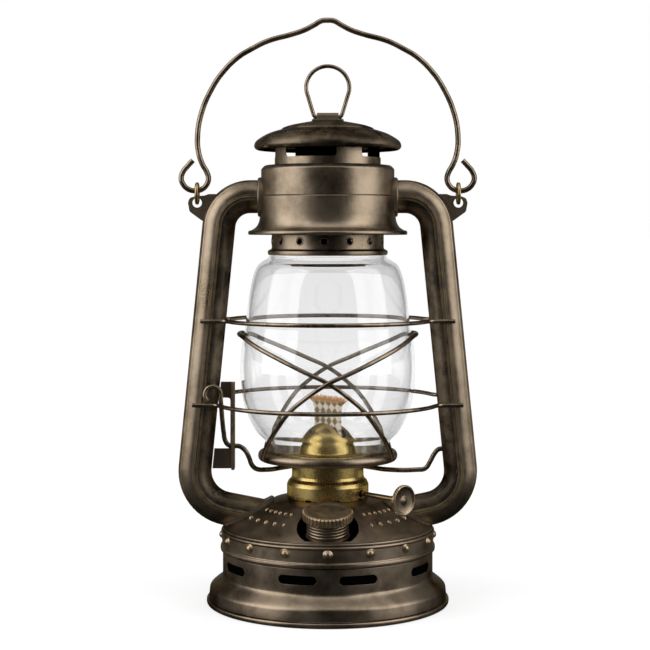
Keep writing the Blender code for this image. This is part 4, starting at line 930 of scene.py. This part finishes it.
class LANTERN_OT_burner(bpy.types.Operator):
    """Spun brass burner body, wick shaft and milled knob"""

    bl_idname = "lantern.burner"
    bl_label = "Burner"

    def execute(self, context):
        wall = sizes(context)["sheet"]
        outline = rounded(
            [(17.3, 71.3), (17.9, 70.8), (17.9, 62.8), (18.3, 61.4), (19.6, 60.2), (20.4, 58.4),
             (20.4, 53.4), (20.25, 52.1)],
            1.4, 4,
        )
        body = lathe("spun_burner", sheet(outline, wall), 128)
        hole = place(lathe("hole", [(0, 30), (1.9, 30), (1.9, 8), (0, 8)], 28), SHAFT)
        cut(body, hole)
        notch = plate("notch", rectangle(3.4, 0.9), 12, 26)
        spots = [along((0, 0, 52.3), facing(40 * i + 12)) for i in range(9)]
        cut(body, copies("notches", notch, spots))
        soften(body, 0.12, 2, 55)
        fit(context, shade(body), "frame", "brass", "burner_body")

        inside = math.sqrt(18.8**2 - 16)
        rod = lathe(
            "wick_rod",
            [(0, 47.8), (1.2, 47.8), (1.2, 44), (1.45, 43.6), (1.45, 41.2), (1.2, 40.8),
             (1.2, 0.3 - inside), (0, 0.3 - inside)],
            28,
        )
        fit(context, shade(place(rod, SHAFT)), "wick_knob", "handled", "wick_shaft")

        rim = 7.5
        outline = [
            (0, 49.55), (1.3, 49.55), (1.7, 49.25), (2.6, 49.2), (5.4, 49.3), (5.9, 49.45), (6.3, 49.85),
            (6.8, 49.95), (7.2, 49.85), (rim, 49.6), (rim, 49.2), (rim, 48.8), (rim, 48.4), (7.2, 48.15),
            (2.4, 48.1), (2.2, 47.5), (0, 47.5),
        ]
        knob = knurl(lathe("milled_knob", outline, 8 * 36), rim, 36, 0.8 * sizes(context)["knurl"])
        fit(context, shade(place(knob, SHAFT), 42), "wick_knob", "turned", "wick_knob")
        return {"FINISHED"}


class LANTERN_OT_wick(bpy.types.Operator):
    """Flat braided wick with its frayed, singed end"""

    bl_idname = "lantern.wick"
    bl_label = "Wick"

    def execute(self, context):
        levels = [(26.1, 18.7, 2.4), (60, 18.7, 2.4), (84, 18.7, 2.4)]
        for i in range(9):
            share = i / 8
            ease = share**3
            levels.append((92 + 8.0 * share, 18.7 + 3.2 * ease, 2.4 + 1.5 * ease))
        trace([(x, y, levels[0][0]) for x, y in [*stadium(18.7, 2.4, 6), stadium(18.7, 2.4, 6)[0]]])
        bpy.ops.mesh.select_all(action="SELECT")
        bpy.ops.mesh.remove_doubles(threshold=WELD)
        bpy.ops.mesh.edge_face_add()
        for below, above in zip(levels, levels[1:]):
            bpy.ops.mesh.extrude_region_move(
                TRANSFORM_OT_translate={"value": (0, 0, (above[0] - below[0]) * MM)}
            )
            bpy.ops.transform.resize(value=(above[1] / below[1], above[2] / below[2], 1))
        weld()
        body = shade(settle("braided_wick"), 50)
        tuft = lathe(
            "tuft", [(0, 1.9), (0.16, 1.8), (0.3, 1.1), (0.42, 0.2), (0.46, -1.6), (0, -1.6)], 8
        )
        spots = []
        for row in (-1, 0, 1):
            for i in range(22):
                across = -10.5 + 21.0 * (i + 0.25 * (row + 1)) / 21.6
                sway = math.sin(i * 2.4 + row * 1.7)
                lift = 99.6 + 0.25 * math.cos(i * 1.9 + row)
                lean = Matrix.Rotation(math.radians(across * 3.6 + 9 * sway), 4, "Y")
                tip = Matrix.Rotation(math.radians(-row * 30 - 8 * math.cos(i * 3.1)), 4, "X")
                grow = Matrix.Diagonal((1, 1, 1.45 + 0.18 * sway, 1))
                spots.append(shift(across, row * 1.4, lift) @ lean @ tip @ grow)
        fringe = shade(copies("fringe", tuft, spots), 60)
        wick = place(join("braided_wick", [body, fringe]), WICK_FRAME)
        fit(context, wick, "wick", "wick", "wick")
        return {"FINISHED"}


# Globe carrier


class LANTERN_OT_carrier(bpy.types.Operator):
    """Vented plate with its rolled rim, and the brass cone over the wick"""

    bl_idname = "lantern.carrier"
    bl_label = "Globe plate and cone"

    def execute(self, context):
        wall = sizes(context)["sheet"]
        roll = arc((33.1, 72.7), 1.0, 128, -128, 24)
        roll = [(33.15 + (r - 33.1) * 1.65, 72.7 + (z - 72.7) * 2.3) for r, z in roll]
        over, under = ([(r, z) for r in (16.6, 24, 30.6)] for z in (72.4, 71.6))
        section = [*over, *roll, *under[::-1]]
        disc = lathe("vented_plate", [*section, section[0]], 160)
        vent = plate("vent", stadium(3.6, 3.0), 68, 76)
        cut(disc, copies("vents", vent, [turn_up(30 * i) @ shift(0, 24.6, 0) for i in range(12)]))
        mark = plate("mark", rectangle(1.5, 1.5), 34.3, 37)
        turned_mark = along((0, 0, 72.6), facing(0)) @ turn_up(45)
        cut(disc, place(mark, turned_mark))
        fit(context, shade(disc), "globe_carrier", "sheet", "globe_plate")

        dome = arc((0, CONE_FOOT), CONE_RADIUS, 90, 4, 18)
        outline = [
            (0, CONE_FOOT + CONE_RADIUS), *dome[1:], (13.9, 75.5), (14.6, 74.9), (16.7, 74.85), (17.2, 74.5), (17.2, 74.1),
            (22.1, 74.0), (22.5, 73.6), (22.5, 72.7),
        ]
        cone = lathe("spun_cone", sheet(outline, wall), 128)
        cut(cone, plate("slot", stadium(24.0, 5.5), 76, 92, WICK_FRAME))
        soften(cone, 0.25, 2, 50)
        fit(context, shade(cone), "globe_carrier", "brass", "burner_cone")
        refinish(context, cone, lambda p, n: p.z > 75.6 and n.dot(p - UP * CONE_FOOT) < -0.5)
        return {"FINISHED"}


class LANTERN_OT_globe(bpy.types.Operator):
    """Blown glass globe"""

    bl_idname = "lantern.globe"
    bl_label = "Globe"

    def execute(self, context):
        shares = (
            (0.640, 0.000), (0.652, 0.020), (0.668, 0.045), (0.735, 0.085), (0.820, 0.125), (0.913, 0.205),
            (0.973, 0.290), (1.000, 0.415), (0.985, 0.540), (0.940, 0.655), (0.905, 0.780), (0.860, 0.885),
            (0.800, 0.950), (0.690, 0.985), (0.668, 0.993), (0.665, 1.000),
        )
        outline = [(GLOBE_RADIUS * r, PLATE_TOP + GLOBE_HEIGHT * z) for r, z in shares]
        outline = curved(outline, 5)[::-1]
        wall = sizes(context)["glass"]
        globe = lathe("glass_globe", sheet(outline, wall), 160)
        soften(globe, 0.5, 3, 60)
        fit(context, shade(globe, 60), "globe_carrier", "glass", "globe")
        globe.visible_shadow = globe.visible_diffuse = False
        return {"FINISHED"}


class LANTERN_OT_cage(bpy.types.Operator):
    """Two wires bent round the globe that cross at its front and back"""

    bl_idname = "lantern.cage"
    bl_label = "Cage"

    def execute(self, context):
        shares = (
            (0.00, 0.960, 1.000), (0.15, 0.966, 0.985), (0.265, 0.978, 0.925), (0.40, 0.988, 0.832),
            (0.505, 0.998, 0.743), (0.60, 1.000, 0.654), (0.695, 0.990, 0.517), (0.745, 0.977, 0.432),
            (0.83, 0.915, 0.263), (0.89, 0.866, 0.165), (0.95, 0.822, 0.075), (1.00, 0.788, 0.000),
        )
        for name, side, step in (("left", -1, 0.0), ("right", 1, 2.6)):
            half = []
            for sweep, reach, height in shares:
                turn = math.radians(151) * sweep
                radius = CAGE_RADIUS * reach + step * math.sin(turn) ** 4
                x, y = side * radius * math.cos(turn), -radius * math.sin(turn)
                half.append((x, y, PLATE_TOP + CAGE_HEIGHT * height))
            path = [(x, -y, z) for x, y, z in half[:0:-1]] + half
            made = wire("cage_wire_on_" + name, path, sizes(context)["cage_wire"])
            fit(context, shade(made, 60), "globe_carrier", "wire", "cage_wire_" + name)
        return {"FINISHED"}


# Air chamber and hood


class LANTERN_OT_chamber(bpy.types.Operator):
    """Two shells of the air chamber, and the sleeves of the side tubes on it"""

    bl_idname = "lantern.chamber"
    bl_label = "Air chamber"

    def execute(self, context):
        wall = sizes(context)["sheet"]
        shares = ((0.00, 1.00), (0.03, 0.80), (0.12, 0.60), (0.34, 0.385), (0.72, 0.235), (0.80, 0.225),
                  (0.93, 0.20), (1.00, 0.12), (0.985, 0.04), (0.93, 0.00))
        flare = curved([(33.9 + 5.9 * r, 182.6 + 9.9 * z) for r, z in shares], 4)
        outline = [(33.55, 202.0), (33.9, 201.6), (33.9, 197), *flare]
        lower = lathe("air_chamber_skirt", sheet(outline, wall), 160)
        outline = rounded(
            [(27.0, 217.2), (31.5, 217.2), (33.3, 215.4), (33.3, 202.3)], 1.6, 6
        )
        upper = lathe("air_chamber_cap", sheet(outline, wall), 160)
        for piece in (lower, upper):
            bores = [
                place(lathe("bore", [(0, 42), (8.2, 42), (8.2, 20), (0, 20)], 48),
                      along((0, 0, TUBE_TOP), OUT * side))
                for side in (-1, 1)
            ]
            cut(piece, join("bores", bores))
            shade(soften(piece, 0.2, 2, 60))
        fit(context, lower, "frame", "sheet", "air_chamber_lower")
        fit(context, upper, "frame", "sheet", "air_chamber_upper")
        for piece in (lower, upper):
            refinish(context, piece, faces_axis)

        for name, side in (("left", -1), ("right", 1)):
            section = [(8.4, 35.0), (9.5, 34.9), (9.9, 34.2), (10.0, 31.5), (8.4, 31.5)]
            section = rounded(section, 0.5, closed=True)
            sleeve = lathe("tube_sleeve_" + name, [*section, section[0]], 72)
            place(sleeve, along((0, 0, TUBE_TOP), OUT * side))
            cut(sleeve, lathe("inside", [(0, 220), (33.2, 220), (33.2, 180), (0, 180)], 96))
            fit(context, shade(sleeve), "frame", "plate")
        return {"FINISHED"}


class LANTERN_OT_hood(bpy.types.Operator):
    """Perforated chimney, window ring, flue and canopy, which lift together"""

    bl_idname = "lantern.hood"
    bl_label = "Hood"

    def execute(self, context):
        wall = sizes(context)["sheet"]
        outline = [
            (26.2, 213.7), (26.2, 200), (26.2, 186.9), (26.8, 185.7), (27.9, 184.7), (28, 183.6),
            (28, 179), (28, 176.2), (28.3, 175.5), (29.3, 175.1), (29.9, 174.6), (30, 173.9),
            (29.9, 173.0), (29.4, 172.5),
        ]
        tube = lathe("perforated_chimney", sheet(outline, wall), 144)
        angles = [360 * i / 14 - 3.5 for i in range(14)]
        hole = plate("hole", arc((0, 0), 1.6, 0, 345, 23), 24, 32)
        cut(tube, copies("holes", hole, [along((0, 0, 179.5), facing(a)) for a in angles]))
        section = rounded([(1.6, 0.25), (2.0, 0.2), (2.3, -0.3), (1.5, -0.3)], 0.15, closed=True)
        lip = lathe("lip", [*section, section[0]], 24)
        lips = copies("lips", lip, [along(facing(a) * 28 + UP * 179.5, facing(a)) for a in angles])
        tube = join("perforated_chimney", [shade(tube), shade(lips, 60)])
        fit(context, tube, "hood", "sheet", "chimney")
        refinish(context, tube, lambda p, n: faces_axis(p, n) and math.hypot(p.x, p.y) < 28)

        band = rounded([(26.5, 231.6), (26.5, 215), (26.5, 214)], 0.1, 1)
        ring = lathe("windowed_ring", sheet(band, wall), 144)
        window = plate("window", rounded(rectangle(26.6, 8.8), 1.6, 5, closed=True), 15.5, 31)
        frames = [along((0, 0, 225.4), facing(69 + 90 * i)) for i in range(4)]
        cut(ring, copies("windows", window, frames))
        soften(ring, 0.2, 2, 55)
        fit(context, shade(ring), "hood", "sheet", "window_ring")
        refinish(context, ring, faces_axis)

        flue = lathe("flue_pipe", sheet([(15.5, 236.4), (15.5, 225), (15.5, 211.7)], 0.6), 96)
        fit(context, shade(flue), "hood", "soot_and_shade", "flue")

        crown = curved(CANOPY[1:4], 4)
        brim = curved(CANOPY[4:], 5)
        outline = [CANOPY[0], (5, 239.1), *crown, (22.9, 235.7), *brim]
        canopy = lathe("domed_canopy", [*outline, *offset(outline, wall)[::-1]], 160)
        fit(context, shade(canopy, 40), "hood", "dull", "canopy")
        refinish(context, canopy, lambda p, n: n.z < -0.25 and math.hypot(p.x, p.y) < 35.6)
        return {"FINISHED"}


class LANTERN_OT_lift_ring(bpy.types.Operator):
    """Finger ring and the strap that holds it on the canopy"""

    bl_idname = "lantern.lift_ring"
    bl_label = "Finger ring"

    def execute(self, context):
        base = plate("folded_strap", rounded(rectangle(16, 8), 1.4, 4, closed=True), 239.4, 240.2)
        bow = [(-4.0, 239.8), (-2.6, 239.9), (-2.1, 240.6), (-1.9, 241.9), (-1.3, 243.1), (0, 243.6),
               (1.3, 243.1), (1.9, 241.9), (2.1, 240.6), (2.6, 239.9), (4.0, 239.8)]
        outline = [(y, z) for y, z in curved(bow, 2)]
        inner = [(y * 0.64, z - 0.75) for y, z in reversed(outline)]
        outline = [(-4.0, 239.6), *outline[1:-1], (4.0, 239.6), *inner[1:-1]]
        lengthways = Matrix(((0, 0, 1, 0), (1, 0, 0, 0), (0, 1, 0, 0), (0, 0, 0, 1)))
        bridge = plate("bridge", outline, -5.4, 5.4, lengthways)
        head = [(0, 0.7), (0.5, 0.62), (0.9, 0.3), (1.0, 0.0), (1.0, -0.3), (0, -0.3)]
        rivet = lathe("strap_rivet", head, 18)
        rivets = copies("strap_rivets", rivet, [shift(side * 6.7, 0, 240.2) for side in (-1, 1)])
        for piece in (base, bridge):
            shade(soften(piece, 0.18, 2, 50))
        strap = join("folded_strap", [base, bridge, shade(rivets, 60)])
        fit(context, strap, "hood", "plate", "ring_strap")

        loop = arc((0, 256.1), 10.8, -25, 205, 26)
        right = rounded([(0, 241.5), (6.75, 241.5), loop[0], loop[2]], 2.0, 4)[1:-1]
        left = [(-x, z) for x, z in reversed(right)]
        path = [(x, 0, z) for x, z in [*right, *loop[2:-2], *left]]
        ring = wire("finger_ring", path, sizes(context)["ring_wire"], closed=True)
        fit(context, shade(ring, 60), "lift_ring", "wire", "lift_ring")
        return {"FINISHED"}


# Frame and handle


class LANTERN_OT_tubes(bpy.types.Operator):
    """Side tubes pressed from two lapped halves, with their feet and ears"""

    bl_idname = "lantern.tubes"
    bl_label = "Side tubes"

    def execute(self, context):
        step = sizes(context)["seam"]
        for name, side in (("left", -1), ("right", 1)):
            half = [(angle, TUBE_SHELL) for angle in (0, 6, 12, 18, 24, 30, 34)]
            half += [(37, TUBE_SHELL - 0.22)] + [(angle, TUBE_SHELL) for angle in range(40, 84, 6)]
            half += [(84, TUBE_SHELL), (87, TUBE_SHELL + 0.1), (91, TUBE_SHELL + 0.12), (93, TUBE_SHELL)]
            half += [(94, TUBE_SHELL - step)]
            half += [(angle, TUBE_SHELL - step) for angle in range(102, 181, 6)]
            points = []
            for angle, radius in half + [(-angle, radius) for angle, radius in half[-2:0:-1]]:
                turn = math.radians(angle + 90)
                points.append((radius * math.cos(turn), radius * math.sin(turn), 0))
            shape = curve("tube_section", points, closed=True, curved=False)
            tube = wire("side_tube_on_" + name, tube_path(side), 0, curved=False, section=shape)
            clear = offset(DOME, -0.2)
            tool = lathe("tank_clearance", [*clear[:-1], (53.8, clear[-2][1]), (53.8, 26), (0, 26)], 96)
            cut(tube, tool)
            fit(context, shade(tube, 24), "frame", "sheet", "side_tube_" + name)
            # The side of the tube that faces the lantern's middle is painted darker, a painted shade.
            middle = Vector((0, 0, 125))
            refinish(context, tube, lambda p, n: n.dot((middle - p).normalized()) > 0.1, "dull")
            # The seam's ridge, whose faces look straight to the front and back, is painted pale: a painted
            # highlight along the lap, partly wear.
            refinish(context, tube, lambda p, n: abs(n.y) > 0.99, "worn_and_highlight")

            collar = wire("foot", tube_path(side)[-2:], 10.9, curved=False)
            hollow = wire("hollow", tube_path(side)[-2:], 8.6, curved=False)
            cut(collar, hollow)
            cone = [(27.5, 50.6), (51.3, 37.9)]
            over, under = offset(cone, -1.5), offset(cone, -0.1)
            cut(collar, lathe("seat", [*over, *under[::-1], over[0]], 128), "INTERSECT")
            shade(soften(collar, 0.3, 2, 60), 40)
            fit(context, collar, "frame", "plate", "tube_foot_" + name)

            outline = rounded(
                [(-12.0, 4.4), (-5.8, 4.4), (-3.6, 3.6), (0.8, 3.4), (3.8, 2.4), (4.6, 0.0), (3.8, -4.4),
                 (-2.8, -9.2), (-12.0, -9.2)],
                2.2, 5,
            )
            spot = shift(side * EAR_REACH, 0, EAR_HEIGHT)
            upright = spot @ Matrix.Diagonal((side, 1, 1, 1)) @ Matrix.Rotation(math.pi / 2, 4, "X")
            ear = plate("ear_on_" + name, outline, -0.6, 0.6, upright)
            hole = plate("ear_hole", arc((0, 0), 2.4, 0, 345, 23), -4, 4, upright)
            for mirrored in (ear, hole):
                pick(mirrored)
                bpy.ops.object.mode_set(mode="EDIT")
                weld()
                bpy.ops.object.mode_set(mode="OBJECT")
            cut(ear, hole)
            seat = wire("ear_seat", tube_path(side), TUBE_SHELL - 0.35, curved=False)
            cut(ear, seat)
            shade(soften(ear, 0.18, 2, 50))
            fit(context, ear, "frame", "plate", "ear_" + name)
        return {"FINISHED"}


class LANTERN_OT_handle(bpy.types.Operator):
    """Wire bail with hooked ends and the two links that it hangs on"""

    bl_idname = "lantern.handle"
    bl_label = "Handle"

    def execute(self, context):
        wires = sizes(context)
        for name, side in (("left", -1), ("right", 1)):
            turns = arc((0, EAR_HEIGHT + LINK_RADIUS), LINK_RADIUS, 0, 337.5, 15)
            ring = [(side * EAR_REACH, y, z) for y, z in turns]
            link_ring = wire("link_ring_" + name, ring, wires["link_wire"], closed=True)
            fit(context, shade(link_ring, 60), "links", "handled", "link_" + name)
        shares = (
            (0.000, 1.000), (0.045, 0.997), (0.105, 0.972), (0.175, 0.944), (0.265, 0.920),
            (0.460, 0.878), (0.585, 0.831), (0.685, 0.784), (0.800, 0.698), (0.885, 0.602),
            (0.965, 0.460), (0.997, 0.320), (0.988, 0.220), (0.958, 0.152), (0.926, 0.108),
            (0.913, 0.068), (0.930, 0.031), (0.966, 0.007), (1.000, 0.000), (1.036, 0.000),
            (1.076, 0.012), (1.108, 0.038), (1.122, 0.072), (1.106, 0.112), (1.068, 0.148),
            (1.032, 0.178),
        )
        half = [(EAR_REACH * x, 0, BAIL_FOOT + BAIL_RISE * z) for x, z in shares]
        path = [(-x, 0, z) for x, _, z in half[:0:-1]] + half
        bail = wire("wire_bail", path, wires["bail_wire"])
        soften(bail, 0.25, 2, 70)
        fit(context, shade(bail, 50), "bail", "wire", "bail")
        return {"FINISHED"}


class LANTERN_OT_guards(bpy.types.Operator):
    """Four level wires that clasp the side tubes and guard the globe"""

    bl_idname = "lantern.guards"
    bl_label = "Guard wires"

    def execute(self, context):
        radius = sizes(context)["guard_wire"]
        for name, height, spread_to, depth, side in (
            ("upper_front", 139.9, 63, 47, -1), ("upper_back", 139.9, 63, 47, 1),
            ("lower_front", 98.4, 67, 50, -1), ("lower_back", 101.6, 67, 50, 1),
        ):
            seat = TUBE_RADIUS + 0.3 + 1.05
            turn_in = tube_reach(height) - TUBE_RADIUS
            bow = depth - seat
            bend = (bow * bow + turn_in * turn_in) / (2 * bow)
            start_at = math.degrees(math.atan2(seat - depth + bend, turn_in))
            swing = arc((0, depth - bend), bend, start_at, 180 - start_at, 40)
            right = rounded([(spread_to, seat), (turn_in, seat), swing[3]], 4.5, 6)
            left = [(-x, y) for x, y in reversed(right)]
            path = [(x, side * y, height) for x, y in [*right, *swing[4:-4], *left]]
            guard = wire("guard_wire_" + name, path, radius)
            soften(guard, 0.25, 2, 70)
            fit(context, shade(guard, 50), "frame", "wire", "guard_" + name)
        return {"FINISHED"}


class LANTERN_OT_lever(bpy.types.Operator):
    """Bent wire lever that lifts the globe, and the slotted bracket that guides it"""

    bl_idname = "lantern.lever"
    bl_label = "Lift lever"

    def execute(self, context):
        axis = 75.6
        reach = tube_reach(axis) - TUBE_RADIUS
        shares = (
            (1.035, 0, 0), (0.980, 0, -0.02), (0.940, 0, -0.25), (0.905, 0, -0.60), (0.860, 0, -0.94),
            (0.790, 0, -1), (0.530, 0.02, -1), (0.390, 0.37, -1), (0.230, 0.81, -1), (0, 1, -1),
            (-0.230, 0.81, -1), (-0.390, 0.37, -1), (-0.550, 0, -1), (-0.630, -0.04, -0.95),
            (-0.668, -0.06, -0.76), (-0.695, -0.08, -0.38), (-0.730, -0.084, -0.04),
            (-0.780, -0.084, 0.145), (-0.833, -0.084, 0.165), (-0.875, -0.084, 0.21),
            (-0.903, -0.095, 0.42), (-0.915, -0.14, 0.80), (-0.924, -0.25, 1.40),
            (-0.931, -0.345, 2.05), (-0.935, -0.39, 2.45),
        )
        path = [(reach * x, 21.5 * y, axis + 10.4 * z) for x, y, z in shares]
        x, y, z = path[-1]
        curl = arc((x - 3.9, z + 2.6), 3.9, 0, 235, 12)
        path += [(a, y - 2.0 * (i + 1) / 13, b) for i, (a, b) in enumerate(curl)]
        lever = wire("lift_lever_wire", path, sizes(context)["lever_wire"])
        soften(lever, 0.25, 2, 70)
        fit(context, shade(lever, 50), "lift_lever", "wire", "lift_lever")

        top, low, root = 109.0, 65.6, -(tube_reach(axis) - 4)
        outline = [
            (-46.4, top), (root, top), (root, top - 8), (-48.8, top - 8), (-48.8, low + 10),
            (root, low + 10), (root, low), (-46.4, low),
        ]
        stand = Matrix.Rotation(math.pi / 2, 4, "X")
        web = plate("slotted_bracket", rounded(outline, 1.5, 4, closed=True), -2.3, -1.5, stand)
        edge = rounded([(-46.4, top), (-48, top), (-48, low), (-46.4, low)], 0.4, 3, closed=True)
        flange = plate("flange", edge, -2.3, 4.5, stand)
        cut(web, flange, "UNION")
        slot = plate("slot", rectangle(12, 17.0), 0.2, 3.4, stand @ shift(-47.5, 83.7, 0))
        cut(web, slot)
        cut(web, wire("tube", tube_path(-1), TUBE_RADIUS + 0.1, curved=False))
        shade(soften(web, 0.36, 3, 50))
        fit(context, web, "frame", "plate", "lever_bracket")
        # The bracket's turned-out flange is painted pale: a painted highlight on its lit edge, partly wear.
        refinish(context, web, lambda p, n: p.x > -48.3, "worn_and_highlight")
        return {"FINISHED"}


# Finishes on the nodes that keep their CAD shape, and the stage


class LANTERN_OT_inner_parts(bpy.types.Operator):
    """Finishes on the inner pieces whose CAD shape stays"""

    bl_idname = "lantern.inner_parts"
    bl_label = "Inner parts"

    def execute(self, context):
        # The tank pan is painted near black, a painted shade under the tank; the hood springs get the same
        # near-black, dull finish.
        looks = {
            "tank_pan": "soot_and_shade", "burner_socket": "brass", "burner_base": "brass",
            "burner_gallery": "brass", "wick_tube": "brass", "feed_wheel_inner": "handled",
            "feed_wheel_outer": "handled", "hood_spring_front": "soot_and_shade", "hood_spring_back": "soot_and_shade",
            "cap_gasket": "rubber",
        }
        for name, look in looks.items():
            node_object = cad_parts[name]
            for place_in in node_object.material_slots:
                place_in.material = finish(look, context)
        return {"FINISHED"}


def seen_rays(tree, off_metal):
    """A value of 1 for the rays that show the background from the camera and through glass, and a value
    of its own for those off metal."""
    path = add(tree, "LightPath")
    glossy = add(tree, "Math", {0: (path, "Is Glossy Ray"), 1: off_metal}, operation="MULTIPLY")
    rays = add(tree, "Math", {0: (path, "Is Camera Ray"), 1: (glossy, "Value")}, operation="MAXIMUM")
    return add(
        tree, "Math", {0: (rays, "Value"), 1: (path, "Is Transmission Ray")}, operation="MAXIMUM"
    )


class LANTERN_OT_stage(bpy.types.Operator):
    """Pale floor, soft studio lamps and the camera"""

    bl_idname = "lantern.stage"
    bl_label = "Stage"

    def execute(self, context):
        self.floor(context)
        self.lamps(context)
        self.world(context)
        self.camera(context)
        context.scene.view_settings.view_transform = "Standard"
        return {"FINISHED"}

    def floor(self, context):
        """Pale paper, which the camera sees as white away from the lantern's shadow."""
        deselect()
        bpy.ops.mesh.primitive_plane_add(size=60, location=(0, 0, 0))
        floor = settle("floor")
        material, tree, shader = start("pale_paper")
        pale = context.scene.lantern_colours.floor
        shader.inputs["Roughness"].default_value = 0.9
        shader.inputs["Specular IOR Level"].default_value = 0.1
        place_on = add(tree, "TexCoord")
        reach = add(tree, "VectorMath", {0: (place_on, "Object")}, operation="LENGTH")
        far = spread(tree, reach, 0.35, 1.6, 0.64, 0.86, output="Value")
        axes = add(tree, "SeparateXYZ", {0: (place_on, "Object")})
        behind = spread(tree, axes, 0.0, 0.5, output="Y")
        seen = seen_rays(tree, (behind, "Result"))
        lift = add(tree, "Math", {0: (seen, "Value"), 1: (far, "Result")}, operation="MULTIPLY")
        link(tree, lift, "Value", shader, "Emission Strength")
        # Seen in metal, the paper in front of the lantern is painted dark grey, a painted dark reflection.
        path = add(tree, "LightPath")
        ahead = add(tree, "Math", {0: 1.0, 1: (behind, "Result")}, operation="SUBTRACT")
        painted_dark_reflection = add(tree, "Math", {0: (ahead, "Value"), 1: (path, "Is Glossy Ray")}, operation="MULTIPLY")
        tone = add(tree, "Mix", {0: (painted_dark_reflection, "Value"), 6: pale, 7: linear("#303030")}, data_type="RGBA")
        link(tree, tone, 2, shader, "Base Color")
        shader.inputs["Emission Color"].default_value = (1, 1, 1, 1)
        floor.data.materials.append(material)

    def lamps(self, context):
        """A softbox on each side, whose reflections run down the tubes, and a weaker one above."""
        for name, spot, width, height, power in (
            ("key_softbox", (-1.1, -0.42, 0.55), 1.25, 1.7, 14.0),
            ("fill_softbox", (1.1, -0.46, 0.55), 1.15, 1.7, 12.0),
            ("top_softbox", (0.0, 0.0, 1.35), 1.9, 1.7, 10.0),
        ):
            data = bpy.data.lights.new(name, "AREA")
            data.shape = "RECTANGLE"
            data.size, data.size_y, data.energy = width, height, power
            lamp = bpy.data.objects.new(name, data)
            lamp.location = spot
            aim = Vector((0, 0, 0.14)) - Vector(spot)
            lamp.rotation_euler = aim.to_track_quat("-Z", "Y").to_euler()
            context.scene.collection.objects.link(lamp)

    def world(self, context):
        """White to the camera, and plain light to the lantern. Metal and glass show the paper behind them
        as white and the dark room in front."""
        world = bpy.data.worlds.new("studio")
        world.use_nodes = True
        tree = world.node_tree
        ground = tree.nodes["Background"]
        towards = add(tree, "TexCoord")
        axes = add(tree, "SeparateXYZ", {0: (towards, "Generated")})
        off_metal = spread(tree, axes, 0.75, 0.97, 0.03, 0.8, output="Y")
        path = add(tree, "LightPath")
        through = spread(tree, axes, -0.3, 0.9, 0.78, 1.0, output="Y")
        through = add(tree, "Mix", {0: (path, "Is Transmission Ray"), 2: 0.36, 3: (through, "Result")})
        shown = add(tree, "Mix", {0: (path, "Is Glossy Ray"), 2: (through, 0), 3: (off_metal, "Result")})
        strength = add(tree, "Mix", {0: (path, "Is Camera Ray"), 2: (shown, 0), 3: 1.0})
        tree.links.new(strength.outputs[0], ground.inputs["Strength"])
        ground.inputs["Color"].default_value = (1, 1, 1, 1)
        context.scene.world = world

    def camera(self, context):
        """Level, in front, with its focus and shifts in pixels of the square picture."""
        data = bpy.data.cameras.new("camera")
        picture, focus, aside, below = 650, 1620, 2.75, 95
        data.sensor_width = 36
        data.sensor_fit = "HORIZONTAL"
        data.lens = data.sensor_width * focus / picture
        data.shift_x = -aside / picture
        data.shift_y = -below / picture
        camera = bpy.data.objects.new("camera", data)
        camera.location = (0, -0.81, 0.185)
        camera.rotation_euler = (math.pi / 2, 0, 0)
        context.scene.collection.objects.link(camera)
        context.scene.camera = camera


OPERATORS = (
    LANTERN_OT_base, LANTERN_OT_tank, LANTERN_OT_filler, LANTERN_OT_burner, LANTERN_OT_wick,
    LANTERN_OT_carrier, LANTERN_OT_globe, LANTERN_OT_cage, LANTERN_OT_chamber, LANTERN_OT_hood,
    LANTERN_OT_lift_ring, LANTERN_OT_tubes, LANTERN_OT_handle, LANTERN_OT_guards, LANTERN_OT_lever,
    LANTERN_OT_inner_parts, LANTERN_OT_stage,
)


class LANTERN_PT_panel(bpy.types.Panel):
    """Lists the lantern's pieces in the order in which they are made"""

    bl_idname = "LANTERN_PT_panel"
    bl_label = "Oil Lantern"
    bl_space_type = "VIEW_3D"
    bl_region_type = "UI"
    bl_category = "Lantern"

    def draw(self, context):
        for group in (context.scene.lantern_sizes, context.scene.lantern_colours):
            column = self.layout.column(align=True)
            for name in type(group).__annotations__:
                column.prop(group, name)
        column = self.layout.column(align=True)
        for operator in OPERATORS:
            column.operator(operator.bl_idname)


CLASSES = (LanternSizes, LanternColours, *OPERATORS, LANTERN_PT_panel)


def register():
    for item in CLASSES:
        bpy.utils.register_class(item)
    bpy.types.Scene.lantern_sizes = bpy.props.PointerProperty(type=LanternSizes)
    bpy.types.Scene.lantern_colours = bpy.props.PointerProperty(type=LanternColours)


def unregister():
    del bpy.types.Scene.lantern_colours
    del bpy.types.Scene.lantern_sizes
    for item in reversed(CLASSES):
        bpy.utils.unregister_class(item)


def main():
    register()
    for operator in OPERATORS:
        group, name = operator.bl_idname.split(".")
        getattr(getattr(bpy.ops, group), name)()


if __name__ == "__main__":
    main()
